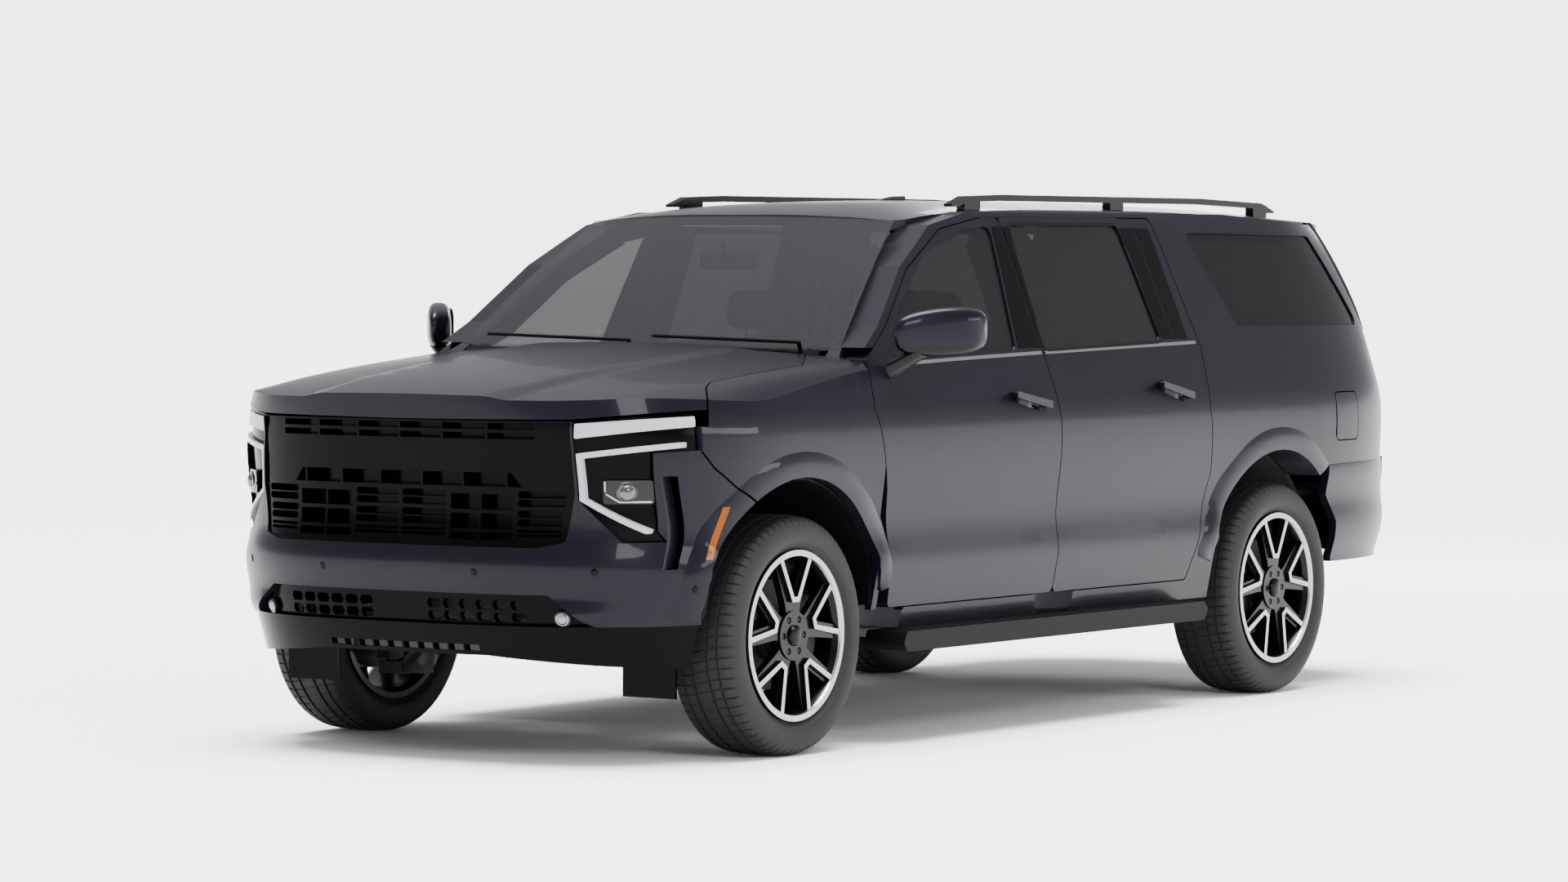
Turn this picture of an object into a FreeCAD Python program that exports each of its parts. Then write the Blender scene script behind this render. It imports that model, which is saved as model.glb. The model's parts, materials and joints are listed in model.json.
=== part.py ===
import FreeCAD, Part
import math
import os

V = FreeCAD.Vector

# Frame: X forward, Y to the left, Z up; the origin is on the ground below the
# middle of the length. All lengths are millimetres.

# Driving dimensions
WHEELBASE = 3406.0
FRONT_AXLE_X = 1899.0
REAR_AXLE_X = FRONT_AXLE_X - WHEELBASE
WHEEL_Y = 872.5
TYRE_RADIUS = 417.0
TYRE_HALF_WIDTH = 140.0
SPOKES = 5
SPOKE_FACE = 124.0
WHEEL_HUB_LENGTH = 35.0
RIM_SEAT_RADIUS = 284.0
RIM_FLANGE_RADIUS = 296.0
KINGPIN_Y = 770.0
RAIL_OUTER_Y = 452.0
RAIL_INNER_Y = 372.0
TOWER_Z = 800.0

# Fits and shut lines
SHUT_GAP = 5.0
GLASS_GAP = 0.3
RUN_GAP = 0.05
MOVE_GAP = 6.0
HINGE_PIN_RADIUS = 5.0

# Wall thicknesses
DOOR_THICK = 92.0
DOOR_FRAME_THICK = 40.0
EDGE_FLANGE = 9.0
EDGE_STEP = 13.0
SIDE_THICK = 142.0
SKIN_THICK = 26.0
GLASS_THICK = 5.0
GLASS_INSET = 8.0

# Firewall, and foot of the front pillar
BULKHEAD_X = 1300.0
PILLAR_FOOT_X = 1440.0

# Plan shape of the body: straight sides between the two arcs
FRONT_ARC_X = 1900.0
REAR_ARC_X = -1500.0

# Half width of the body at each height
SECTION = (
    (300, 960), (440, 978), (480, 986), (560, 1002), (655, 1016), (690, 1012),
    (760, 1004), (900, 1017), (1050, 1030), (1130, 1026), (1185, 1014),
    (1250, 992), (1330, 962), (1400, 936), (1480, 906), (1600, 862),
    (1720, 817), (1840, 768), (1900, 735),
)
# Reach of the nose and of the tail beyond the arcs at each height
NOSE_REACH = (
    (300, 890), (480, 950), (585, 968), (690, 974), (755, 955), (900, 940),
    (1000, 940), (1100, 950), (1165, 950), (1300, 945), (1900, 940),
)
TAIL_REACH = (
    (480, 1330), (600, 1350), (690, 1374), (830, 1374), (900, 1340),
    (1050, 1325), (1250, 1335), (1430, 1340), (1637, 1274), (1800, 1156),
    (1900, 1080),
)
NOSE_POWER = 3.0
TAIL_POWER = 4.0
COLUMN_STEP = 90.0

# Centre line heights of the hood and the roof along X
HOOD_LINE = (
    (1400, 1419), (1600, 1404), (1900, 1378), (2300, 1335), (2600, 1297),
    (2870, 1252),
)
ROOF_LINE = (
    (-2900, 1850), (-2700, 1872), (-2200, 1904), (-1600, 1925), (-900, 1936),
    (-200, 1936), (300, 1926), (600, 1906), (850, 1870), (1000, 1835),
)

# Door outlines, front door first, as seen from the left
DOOR_SILL_Z = 484.0
DOOR_TOP_Z = 1868.0
FRONT_SHUT = ((1384, 1362), (1426, 1191), (1353, 902), (1308, DOOR_SILL_Z))
PILLAR_LINE = ((310, DOOR_TOP_Z), (637, 1822), (948, 1675), (1198, 1475))
SPLIT_LINE = ((186, DOOR_SILL_Z), (186, 1359), (208, DOOR_TOP_Z))
REAR_SHUT = ((-905, DOOR_TOP_Z), (-985, 1373), (-927, 1139), (-944, 886),
             (-878, 699), (-799, DOOR_SILL_Z))
FRONT_DOOR_HINGE = (1345.0, 1028.0)
REAR_DOOR_HINGE = (165.0, 1028.0)

# Handles: x and z of the front end, then of the rear end
FRONT_GRIP = (520, 1219, 272, 1178)
REAR_GRIP = (-549, 1236, -785, 1190)

# Window outlines
FRONT_WINDOW = ((371, 1380), (1262, 1352), (1085, 1532), (804, 1732),
                (465, 1826), (287, 1836))
REAR_WINDOW = ((170, 1382), (143, 1838), (-640, 1840), (-700, 1402))
QUARTER_WINDOW = ((-1330, 1452), (-1130, 1816), (-2180, 1806), (-2420, 1444))

# Wheel arches
ARCH_RADIUS = 547.0
ARCH_HALF = 488.0
REAR_ARCH_SHIFT = 24.0

# Lip round each wheel arch: radius from the wheel's centre and height over the side
FLARE = ((535, 11), (552, 12), (585, 11), (618, 5), (652, -5))

# Grille pattern seen from the front: rows of openings and the bars between them
UPPER_CELL = 180.0
POST = 8.0
THIN_BAR = 5.0
BAND_ROW = (947.0, 994.0)
MAIN_ROWS = ((881.0, 933.0), (816.0, 868.0), (779.0, 804.0))
MID_DROP = 12.0
GRILLE_DEPTH = 56.0
LAMP_INSET = 18.0
FOG_LAMP = (625.0, 505.0)

# Dome of the hood
DOME_EDGE_Y = 455.0
DOME_START_X = 1780.0
DOME_LIFT = 12.0
DOME_BLEND = 70.0

# Lids
HOOD_HINGE = (1500.0, 1366.0)
GATE_HINGE = (-2380.0, 1880.0)
GATE_EAR_Y = 160.0
GATE_HALF = 792.0
GATE_SILL_Z = 905.0
FLAP_BOX = (-2148.0, -1954.0, 990.0, 1178.0)
FLAP_HINGE = (-1951.5, 1022.0)


def smooth(table, t):
    """Value at t of a smooth curve through the table's points, without overshoot."""
    if t <= table[0][0]:
        return float(table[0][1])
    if t >= table[-1][0]:
        return float(table[-1][1])
    last = len(table) - 1
    i = max(k for k in range(last) if table[k][0] <= t)

    def slope(k):
        return (table[k + 1][1] - table[k][1]) / (table[k + 1][0] - table[k][0])

    def tangent(k):
        if k == 0:
            return slope(0)
        if k == last:
            return slope(last - 1)
        a, b = slope(k - 1), slope(k)
        return 0.0 if a * b <= 0 else 2 * a * b / (a + b)

    step = table[i + 1][0] - table[i][0]
    s = (t - table[i][0]) / step
    rise = table[i + 1][1] - table[i][1]
    bend = s * (1 - s) * ((1 - s) * tangent(i) - s * tangent(i + 1)) * step
    return table[i][1] + rise * s * s * (3 - 2 * s) + bend


def spread(a, b, count):
    """Evenly spaced values from a to b."""
    return [a + (b - a) * i / (count - 1) for i in range(count)]


def half_width(z):
    return smooth(SECTION, z)


def plan_factor(x, z):
    """Share of the full half width left at x by the rounding of nose and tail."""
    if x > FRONT_ARC_X:
        t = min(0.999, (x - FRONT_ARC_X) / smooth(NOSE_REACH, z))
        return (1 - t ** NOSE_POWER) ** (1 / NOSE_POWER)
    if x < REAR_ARC_X:
        t = min(0.999, (REAR_ARC_X - x) / smooth(TAIL_REACH, z))
        return (1 - t ** TAIL_POWER) ** (1 / TAIL_POWER)
    return 1.0


def side_y(x, z):
    """Half width of the body's skin at a place seen from the side."""
    return half_width(z) * plan_factor(x, z)


def face_through(rows):
    surface = Part.BSplineSurface()
    surface.interpolate(rows)
    return surface.toShape()


def heights(z0, z1):
    """Heights from z0 to z1 that follow the folds of the section."""
    inner = [z for z, _ in SECTION if z0 + 12 < z < z1 - 12]
    return [z0] + inner + [z1]


def side_slab(x0, x1, inset, thick):
    """Left wall between two depths below the skin, on one common lattice."""
    first = math.floor(x0 / COLUMN_STEP)
    last = math.ceil(x1 / COLUMN_STEP)
    rows = []
    for k in range(first, last + 1):
        x = k * COLUMN_STEP
        rows.append([V(x, side_y(x, z) - inset, z) for z in heights(400, 1899)])
    return face_through(rows).extrude(V(0, -thick, 0))


def ring_point(angle, z, inset, front):
    """Point on the rounded end of the body at a plan angle from the centre line."""
    c, s = math.cos(angle), math.sin(angle)
    power = NOSE_POWER if front else TAIL_POWER
    r = (abs(c) ** power + abs(s) ** power) ** (-1 / power)
    y = (half_width(z) - inset) * r * s
    if front:
        return V(FRONT_ARC_X + (smooth(NOSE_REACH, z) - inset) * r * c, y, z)
    return V(REAR_ARC_X - (smooth(TAIL_REACH, z) - inset) * r * c, y, z)


def ring_shell(front, angle0, angle1, z0, z1, inset, thick, steps=25):
    """Curved wall round the nose or the tail between two plan angles."""
    angles = [math.radians(a) for a in spread(angle0, angle1, steps)]
    zs = heights(z0, z1)
    skins = []
    for depth in (inset, inset + thick):
        skins.append(face_through([[ring_point(a, z, depth, front) for z in zs] for a in angles]))
    edges = []
    for skin in skins:
        surface = skin.Surface
        u0, u1, v0, v1 = surface.bounds()
        edges.append([surface.uIso(u0), surface.uIso(u1), surface.vIso(v0), surface.vIso(v1)])
    for outer, inner in zip(edges[0], edges[1]):
        skins.append(Part.makeRuledSurface(outer.toShape(), inner.toShape()))
    group = Part.makeCompound(skins)
    group.sewShape(0.001)
    solid = Part.Solid(group.Shells[0])
    if solid.Volume < 0:
        solid.reverse()
    return solid


def flat_loop(points, radius):
    """Closed wire in the XY plane with its corners rounded."""
    corners = [V(a, b, 0) for a, b in points]
    pieces = []
    ends = []
    for i, corner in enumerate(corners):
        back = corners[i - 1] - corner
        ahead = corners[(i + 1) % len(corners)] - corner
        reach = min(back.Length, ahead.Length) * 0.45
        back.normalize()
        ahead.normalize()
        half = back.getAngle(ahead) / 2
        if radius <= 0 or half > math.radians(88):
            ends.append((corner, corner))
            continue
        cut = min(radius / math.tan(half), reach)
        r = cut * math.tan(half)
        bisector = back + ahead
        bisector.normalize()
        centre = corner + bisector * (r / math.sin(half))
        start, stop = corner + back * cut, corner + ahead * cut
        pieces.append((i, Part.Arc(start, centre - bisector * r, stop).toShape()))
        ends.append((start, stop))
    edges = []
    arcs = dict(pieces)
    for i in range(len(corners)):
        if i in arcs:
            edges.append(arcs[i])
        start, stop = ends[i][1], ends[(i + 1) % len(corners)][0]
        if start.distanceToPoint(stop) > 0.01:
            edges.append(Part.makeLine(start, stop))
    return Part.Wire(edges)


def plate(points, thick, radius=0):
    """Flat plate in the XY plane, thick upwards."""
    return Part.Face(flat_loop(points, radius)).extrude(V(0, 0, thick))


def prism_y(points, y0, y1, radius=0):
    """Solid with an outline of (x, z) points, from y0 to y1."""
    solid = plate([(x, z) for x, z in points], y1 - y0, radius)
    solid.rotate(V(0, 0, 0), V(1, 0, 0), 90)
    solid.translate(V(0, y1, 0))
    return solid


def prism_x(points, x0, x1, radius=0):
    """Solid with an outline of (y, z) points, from x0 to x1."""
    solid = plate([(y, z) for y, z in points], x1 - x0, radius)
    solid.rotate(V(0, 0, 0), V(1, 1, 1), 120)
    solid.translate(V(x0, 0, 0))
    return solid


def prism_z(points, z0, z1, radius=0):
    """Solid with an outline of (x, y) points, from z0 to z1."""
    solid = plate(points, z1 - z0, radius)
    solid.translate(V(0, 0, z0))
    return solid


def box(x0, x1, y0, y1, z0, z1):
    return Part.makeBox(x1 - x0, y1 - y0, z1 - z0, V(x0, y0, z0))


def rod(start, end, radius):
    """Round bar between two points."""
    a, b = V(*start), V(*end)
    return Part.makeCylinder(radius, a.distanceToPoint(b), a, b - a)


def disc_y(x, z, y0, y1, radius):
    return Part.makeCylinder(radius, y1 - y0, V(x, y0, z), V(0, 1, 0))


def disc_x(y, z, x0, x1, radius):
    return Part.makeCylinder(radius, x1 - x0, V(x0, y, z), V(1, 0, 0))


def ring_y(x, z, y0, y1, outer, inner):
    return disc_y(x, z, y0, y1, outer).cut(disc_y(x, z, y0 - 1, y1 + 1, inner))


def fuse(shapes):
    whole = shapes[0]
    if len(shapes) > 1:
        whole = whole.fuse(list(shapes[1:]))
    return whole.removeSplitter()


def mirrored(shape):
    return shape.mirror(V(0, 0, 0), V(0, 1, 0))


def both(shape):
    """The shape and its mirror image across the centre plane."""
    return Part.makeCompound([shape, mirrored(shape)])


def export(shape, node):
    shape.exportStep("parts/" + node + ".step")


def keep_solids(shape, least=1000.0):
    """Drop slivers left by a cut."""
    solids = [s for s in shape.Solids if abs(s.Volume) > least]
    return solids[0] if len(solids) == 1 else Part.makeCompound(solids)


def front_door_outline(grow=0.0):
    """Front door seen from the side; grow widens it all round."""
    g = grow
    split = [(x + SHUT_GAP / 2 - g, z) for x, z in SPLIT_LINE]
    split[0] = (split[0][0], split[0][1] - g)
    split[-1] = (split[-1][0], split[-1][1] + g)
    top = [(x + g * 0.7, z + g * 0.8) for x, z in PILLAR_LINE]
    front = [(x + g, z) for x, z in FRONT_SHUT]
    front[-1] = (front[-1][0], front[-1][1] - g)
    return split + top + front


def rear_door_outline(grow=0.0):
    g = grow
    split = [(x - SHUT_GAP / 2 + g, z) for x, z in SPLIT_LINE]
    split[0] = (split[0][0], split[0][1] - g)
    split[-1] = (split[-1][0], split[-1][1] + g)
    rear = [(x - g, z) for x, z in REAR_SHUT]
    rear[0] = (rear[0][0], rear[0][1] + g)
    rear[-1] = (rear[-1][0], rear[-1][1] - g)
    return split + rear


def doorway_outline(grow):
    """Both doors of one side together, from the rear lower corner round by the front."""
    count = len(SPLIT_LINE)
    front = front_door_outline(grow)[count:]
    rear = rear_door_outline(grow)[count:]
    return front + rear[::-1]


def arch_cut(axle_x, y0, y1, grow=0.0):
    """Opening of a wheel arch."""
    round_part = disc_y(axle_x, TYRE_RADIUS, y0, y1, ARCH_RADIUS + grow)
    half = ARCH_HALF + grow
    slot = box(axle_x - half, axle_x + half, y0, y1, 100, 1000 + grow)
    return round_part.common(slot)


def door(outline, window, grip, x0, x1):
    """Door with a thin window frame and a thick lower part."""
    slab = side_slab(x0, x1, 0, DOOR_THICK)
    region = prism_y(outline, 600, 1100, 24)
    shape = slab.common(region)
    lip = arch_flare(REAR_AXLE_X + REAR_ARCH_SHIFT, 14, 166).common(region)
    if lip.Solids:
        shape = shape.fuse(keep_solids(lip))
    hollow = side_slab(x0, x1, DOOR_FRAME_THICK, DOOR_THICK)
    shape = shape.cut(hollow.common(box(x0 - 100, x1 + 100, 500, 1000, 1405, 1899)))
    shape = keep_solids(shape.cut(prism_y(window, 600, 1100, 28)))
    return fuse([shape, handle(*grip)])


def split_step():
    """Cutter that sets the front door's rear edge back behind its skin, to clear the rear door."""
    low, belt, top = SPLIT_LINE
    line = ((low[0], low[1] - 20), belt, (top[0], top[1] + 20))
    outer = [(x - SHUT_GAP, z) for x, z in line]
    inner = [(x + SHUT_GAP / 2 + EDGE_STEP, z) for x, z in reversed(line)]
    slab = side_slab(100, 300, EDGE_FLANGE, DOOR_THICK)
    return slab.common(prism_y(outer + inner, 500, 1100))


def handle(x0, z0, x1, z1):
    """Pull handle that stands off the door, from its front end to its rear end."""
    y = side_y(x0, (z0 + z1) / 2)
    bar = prism_y([(x0, z0 + 15), (x1, z1 + 15), (x1, z1 - 13), (x0, z0 - 9)], y + 16, y + 34, 8)
    parts = [bar]
    for x, z in ((x0 - 26, z0), (x1 + 26, z1 + 4)):
        parts.append(prism_y([(x + 18, z + 8), (x - 18, z + 6), (x - 18, z - 8), (x + 18, z - 6)],
                             y - 25, y + 20))
    return fuse(parts)


def swing_room(hinge, sill, waist, belt):
    """Room in the pillar for a door's front edge: a round column that widens to the belt."""
    hx, hy = hinge
    reach = []
    for x, z in (sill, waist, belt):
        reach.append(math.hypot(x - hx, hy - side_y(x, z) + DOOR_THICK) + MOVE_GAP)
    radius = max(reach[0], reach[1])
    column = Part.makeCylinder(radius, waist[1] - 400, V(hx, hy, 400))
    height = belt[1] - waist[1] + 20
    flare = Part.makeCone(radius - 1, reach[2], height, V(hx, hy, waist[1] - 20))
    return column.fuse(flare)


def side_glass(window, x0, x1):
    inset = Part.Face(flat_loop(window, 28)).makeOffset2D(-GLASS_GAP)
    cutter = inset.extrude(V(0, 0, 500))
    cutter.rotate(V(0, 0, 0), V(1, 0, 0), 90)
    cutter.translate(V(0, 1100, 0))
    slab = side_slab(x0, x1, GLASS_INSET, GLASS_THICK)
    return keep_solids(slab.common(cutter))


def side_frame():
    """Left body side: quarter panel, pillars, roof edge and sill in one piece."""
    slab = side_slab(-2560, 1470, 0, SIDE_THICK)
    outline = [
        (1400, 405), (1400, 560), (PILLAR_FOOT_X, 1300), (PILLAR_FOOT_X, 1366), (1250, 1478),
        (985, 1688), (700, 1838), (400, 1888), (-1500, 1890), (-2270, 1850), (-2330, 1800), (-2500, 1440), (-2500, 900),
        (-1900, 890), (-1000, 480), (-1000, 405),
    ]
    shape = slab.common(prism_y(outline, 500, 1100))
    lip = arch_flare(REAR_AXLE_X + REAR_ARCH_SHIFT, 14, 166)
    shape = shape.fuse(keep_solids(lip.common(prism_y(outline, 500, 1100))))
    slab = side_slab(-1020, 1470, -40, DOOR_THICK + SHUT_GAP + 40)
    shape = shape.cut(slab.common(prism_y(doorway_outline(SHUT_GAP), 500, 1100, 24)))
    for outline in (front_door_outline(-62), rear_door_outline(-62)):
        shape = shape.cut(prism_y(outline, 500, 1100, 60))
    shape = shape.cut(prism_y(QUARTER_WINDOW, 500, 1100, 28))
    shape = shape.cut(arch_cut(REAR_AXLE_X + REAR_ARCH_SHIFT, 500, 1100))
    shape = shape.cut(prism_z(roof_outline(GLASS_GAP), 1770, 2000))
    shape = shape.cut(windshield_slab(40, 48 + GLASS_GAP, 3))
    behind_fender = side_slab(1200, 1500, -20, 20 + SKIN_THICK + GLASS_GAP)
    shape = shape.cut(behind_fender.common(box(1200, 1520, 700, 1100, 470, 1366)))
    shape = shape.cut(prism_x(liftgate_profile(SHUT_GAP), -3000, -2371))
    sill, waist = FRONT_SHUT[-1], FRONT_SHUT[1]
    shape = shape.cut(swing_room(FRONT_DOOR_HINGE, sill, waist, (FRONT_DOOR_HINGE[0], 1402)))
    sill, waist = SPLIT_LINE[0], (SPLIT_LINE[1][0], 1130)
    shape = shape.cut(swing_room(REAR_DOOR_HINGE, sill, waist, (SPLIT_LINE[1][0], 1402)))
    return keep_solids(shape)


def filler_pocket(frame):
    """The left body side with the recess behind the fuel flap."""
    x0, x1, z0, z1 = FLAP_BOX
    g = SHUT_GAP
    pocket = [(x0 - g, z0 - g), (x1 + g, z0 - g), (x1 + g, z1 + g), (x0 - g, z1 + g)]
    frame = frame.cut(prism_y(pocket, 930, 1100, 24))
    groove = box(x1, x1 + g + 7, FLAP_HINGE[1] - 1, 1100, z0 + 15, z1 - 15)
    return keep_solids(frame.cut(groove))


def fuel_flap():
    x0, x1, z0, z1 = FLAP_BOX
    slab = side_slab(x0 - 200, x1 + 200, 0, 8)
    outline = [(x0, z0), (x1, z0), (x1, z1), (x0, z1)]
    lid = slab.common(prism_y(outline, 900, 1100, 22))
    px, py = FLAP_HINGE
    middle = (z0 + z1) / 2
    pin = Part.makeCylinder(2.2, 80, V(px, py, middle - 40))
    web = box(x1 - 12, px, py - 2, py, middle - 36, middle + 36)
    return keep_solids(fuse([lid, pin, web]))


def nose_ratio(x, y):
    """One on the plan edge of the body, less inside it."""
    t = max(0.0, (x - FRONT_ARC_X) / 950.0)
    return (t ** 3 + (abs(y) / 1012.0) ** 3) ** (1 / 3)


def deck_z(x, y):
    """Height of the hood and fender tops: crowned, rolled down at the sides, with a dome."""
    roll = min(max(0.0, nose_ratio(x, y) - 0.86) / 0.14, 1.3)
    bearing = math.degrees(math.atan2(abs(y), x - FRONT_ARC_X))
    share = min(1.0, max(0.0, (bearing - 45) / 40))
    share = share * share * (3 - 2 * share)
    edge = DOME_EDGE_Y - 0.06 * (x - DOME_START_X)
    inside = min(1.0, max(0.0, (edge - abs(y)) / DOME_BLEND + 0.5))
    dome = DOME_LIFT * inside * inside * (3 - 2 * inside)
    side_drop = 40 * (y / 905) ** 2 + 85 * share * roll ** 2.2
    return smooth(HOOD_LINE, x) - DOME_LIFT + dome - side_drop


def deck_block(depth, thick):
    """Everything from a depth below the deck surface down by a thickness."""
    rows = []
    for x in spread(1380, 2900, 24):
        rows.append([V(x, y, deck_z(x, y) - depth) for y in spread(-1040, 1040, 49)])
    return face_through(rows).extrude(V(0, 0, -thick))


def nose_block(inset):
    """The rounded nose from its skin backwards, filled."""
    rows = []
    for a in spread(-66, 66, 25):
        rows.append([ring_point(math.radians(a), z, inset, True) for z in spread(1100, 1460, 9)])
    return face_through(rows).extrude(V(-1500, 0, 0))


def hood_outline(grow=0.0):
    """Plan outline of the hood, from the rear centre round the left side and back."""
    g = grow
    left = [(1484 - g, 0), (1476 - g, 400), (1446 - g, 728 + g / 2), (1570 - g / 2, 806 + g / 2),
            (1690, 878 + g), (1949, 870 + g), (2222, 858 + g), (2302 - g / 2, 892 + g),
            (2420 - g, 984 + g), (2460 - g, 1050), (3000, 1050)]
    return left + [(x, -y) for x, y in reversed(left[1:])]


def hood():
    """Hood with its front face, and the bosses and pins of its two hinges."""
    outer = deck_block(0, 260).common(nose_block(0))
    inner = deck_block(SKIN_THICK, 400).common(nose_block(SKIN_THICK))
    panel = outer.cut(inner).common(prism_z(hood_outline(), 1000, 1600))
    front = [(-1050, 1216), (-660, 1177), (0, 1172), (660, 1177), (1050, 1216), (1050, 1500),
             (-1050, 1500)]
    panel = keep_solids(panel.common(prism_x(front, 1300, 3000)))
    hx, hz = HOOD_HINGE
    bosses = []
    for y in (-306, 278):
        bosses.append(box(hx - 12, hx + 12, y, y + 28, hz - 6, deck_z(hx, y) - 8))
    for y in (-330, 270):
        bosses.append(disc_y(hx, hz, y, y + 60, HINGE_PIN_RADIUS))
    return fuse([panel] + bosses)


def arch_flare(axle_x, a0, a1):
    """Raised lip round a wheel arch, between two angles from straight ahead."""
    rows = []
    for a in spread(a0, a1, 21):
        c, t = math.cos(math.radians(a)), math.sin(math.radians(a))
        row = []
        for r, lift in FLARE:
            x, z = axle_x + r * c, TYRE_RADIUS + r * t
            row.append(V(x, side_y(x, z) + lift, z))
        rows.append(row)
    return face_through(rows).extrude(V(0, -18, 0))


def fender():
    """Left front fender: side with its arch lip, and the shoulder beside the hood."""
    outer = side_slab(1300, 2440, 0, 300).common(deck_block(0, 1300))
    inner = side_slab(1300, 2440, SKIN_THICK, 400).common(deck_block(SKIN_THICK, 1400))
    shape = outer.cut(inner)
    shape = shape.cut(prism_z(hood_outline(SHUT_GAP), 1150, 1600))
    foot = PILLAR_FOOT_X + GLASS_GAP
    shape = shape.cut(box(1300, foot, 600, 924, 1100, 1500))
    shut = [(x + SHUT_GAP, z) for x, z in FRONT_SHUT]
    outline = [shut[1], shut[2], (1313, 480), (1450, 480), (1900, 700), (2150, 880),
               (2275, 948), (2372, 1012), (2424, 1068), (2424, 1190), (2396, 1212),
               (2396, 1500), (foot, 1500), (foot, 1364), shut[0]]
    region = prism_y(outline, 690, 1100)
    shape = keep_solids(shape.common(region))
    lip = arch_flare(FRONT_AXLE_X, 14, 166).common(region)
    shape = shape.fuse(keep_solids(lip))
    return keep_solids(shape.cut(arch_cut(FRONT_AXLE_X, 500, 1100)), 50000)


def roof_z(x, y):
    return smooth(ROOF_LINE, x) - 46 * (abs(y) / 735) ** 2.6


def roof_outline(grow):
    """Roof skin seen from above, grown sideways."""
    left = [(828, 0), (808, 400), (765, 640), (700, 668), (-1500, 690), (-2300, 672), (-2345, 640)]
    left = [(x, y + grow if y else y) for x, y in left]
    return left + [(-2358, 0)] + [(x, -y) for x, y in reversed(left[1:])]


def roof_face(lift):
    rows = []
    for x in spread(-2500, 900, 18):
        rows.append([V(x, y, roof_z(x, y) + lift) for y in spread(-735, 735, 15)])
    return face_through(rows)


def roof_panel():
    slab = roof_face(0).extrude(V(0, 0, -36))
    panel = keep_solids(slab.common(prism_z(roof_outline(0), 1700, 2100)))
    hx, hz = GATE_HINGE
    ears = []
    for y in (-GATE_EAR_Y, GATE_EAR_Y):
        ear = disc_y(hx, hz, y - 13, y + 13, 11)
        ear = ear.fuse(box(hx, hx + 40, y - 13, y + 13, hz - 9, hz + 9))
        ears.append(ear.cut(disc_y(hx, hz, y - 14, y + 14, HINGE_PIN_RADIUS + RUN_GAP)))
    fin = prism_y([(-60, 1925), (-250, 1953), (-318, 1955), (-330, 1925)], -13, 13, 5)
    return fuse([panel, fin] + ears)


def roof_rail():
    """Left roof rail on its feet."""
    points = [(380, 1908), (250, 1948), (0, 1955), (-1500, 1953), (-2000, 1938), (-2130, 1898),
              (-2060, 1898), (-1980, 1916), (-1500, 1929), (0, 1931), (230, 1926), (300, 1908)]
    shape = prism_y(points, 612, 648, 12)
    feet = [box(150, 260, 612, 648, 1860, 1940), box(-900, -800, 612, 648, 1860, 1940),
            box(-2040, -1930, 612, 648, 1850, 1930)]
    return keep_solids(fuse([shape] + feet).common(roof_face(GLASS_GAP).extrude(V(0, 0, 200))))


def windshield_slab(lift, thick, widen):
    """Sheet in the windshield's shape, leaning back and bowed across."""
    rows = []
    for s in spread(0, 1, 5):
        x = 1432 - 597 * s
        z = 1398 + 472 * s - 26 * s * (1 - s) + 22 * math.sin(math.pi * s)
        half = 836 - 166 * s + widen
        row = []
        for t in spread(-1, 1, 9):
            row.append(V(x - (46 + 10 * s) * t * t, half * t, z - 16 * s * t * t + lift))
        rows.append(row)
    return face_through(rows).extrude(V(0, 0, -thick))


def fixed_glass():
    """Windshield and the two rear quarter windows."""
    front = windshield_slab(0, 8, 0).common(box(0, 1418, -1000, 1000, 1300, 2000))
    quarter = side_glass(QUARTER_WINDOW, -2540, -1050)
    return Part.makeCompound([front, quarter, mirrored(quarter)])


def grille_outline(grow=0.0):
    """Grille opening seen from the front, across both sides."""
    g = grow
    left = [(556, 744 - g), (640 + g, 764), (668 + g, 930), (662 + g, 1050), (657 + g, 1108),
            (657 + g, 1166 + g)]
    return left + [(-y, z) for y, z in reversed(left)]


def lamp_outline(grow=0.0):
    """Left lamp cluster seen from the front."""
    g = grow
    return [(664 - g, 1168 + g), (664 - g, 1108), (669 - g, 1050), (677 - g, 905), (800, 763 - g),
            (897 + g, 763 - g), (877 + g, 800), (877 + g, 1063), (1037, 1078 - g), (1037, 1203 + g)]


def lower_outline(grow=0.0):
    """Opening under the number plate, wider at its open bottom."""
    g = grow
    half = [(732 + g, 470), (590 + g, 585 + g)]
    return half + [(-y, z) for y, z in reversed(half)]


def nose_opening():
    """Openings in the painted nose for the grilles and the lamps."""
    grille = prism_x(grille_outline(GLASS_GAP), 2300, 2950)
    lower = prism_x(lower_outline(GLASS_GAP), 2300, 2950)
    lamp = prism_x(lamp_outline(GLASS_GAP), 2250, 2950)
    slot = prism_x([(893, 985), (925, 985), (925, 670), (898, 670)], 2250, 2950)
    return [grille, lower, lamp, mirrored(lamp), slot, mirrored(slot)]


def front_bumper():
    """Painted nose under the hood, with the front lip of the wheel arches."""
    shell = ring_shell(True, -80, 80, 478, 1168, 0, SKIN_THICK, 33)
    seam = [(2152, 870), (2280, 943), (2377, 1006), (2430, 1064), (2430, 1250), (3000, 1250),
            (3000, 400), (2152, 400)]
    region = prism_y(seam, -1100, 1100)
    lip = keep_solids(arch_flare(FRONT_AXLE_X, 8, 66).common(region))
    shape = shell.common(region).fuse([lip, mirrored(lip)])
    shape = shape.cut(arch_cut(FRONT_AXLE_X, -1100, 1100))
    for opening in nose_opening():
        shape = shape.cut(opening)
    return keep_solids(shape)


def hex_slot(y0, y1, z0, z1):
    """Slot seen from the front, with pointed ends."""
    tip = min(8, (z1 - z0) / 2)
    middle = (z0 + z1) / 2
    return prism_x([(y0, middle), (y0 + tip, z0), (y1 - tip, z0), (y1, middle), (y1 - tip, z1),
                    (y0 + tip, z1)], 2300, 2950)


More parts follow.
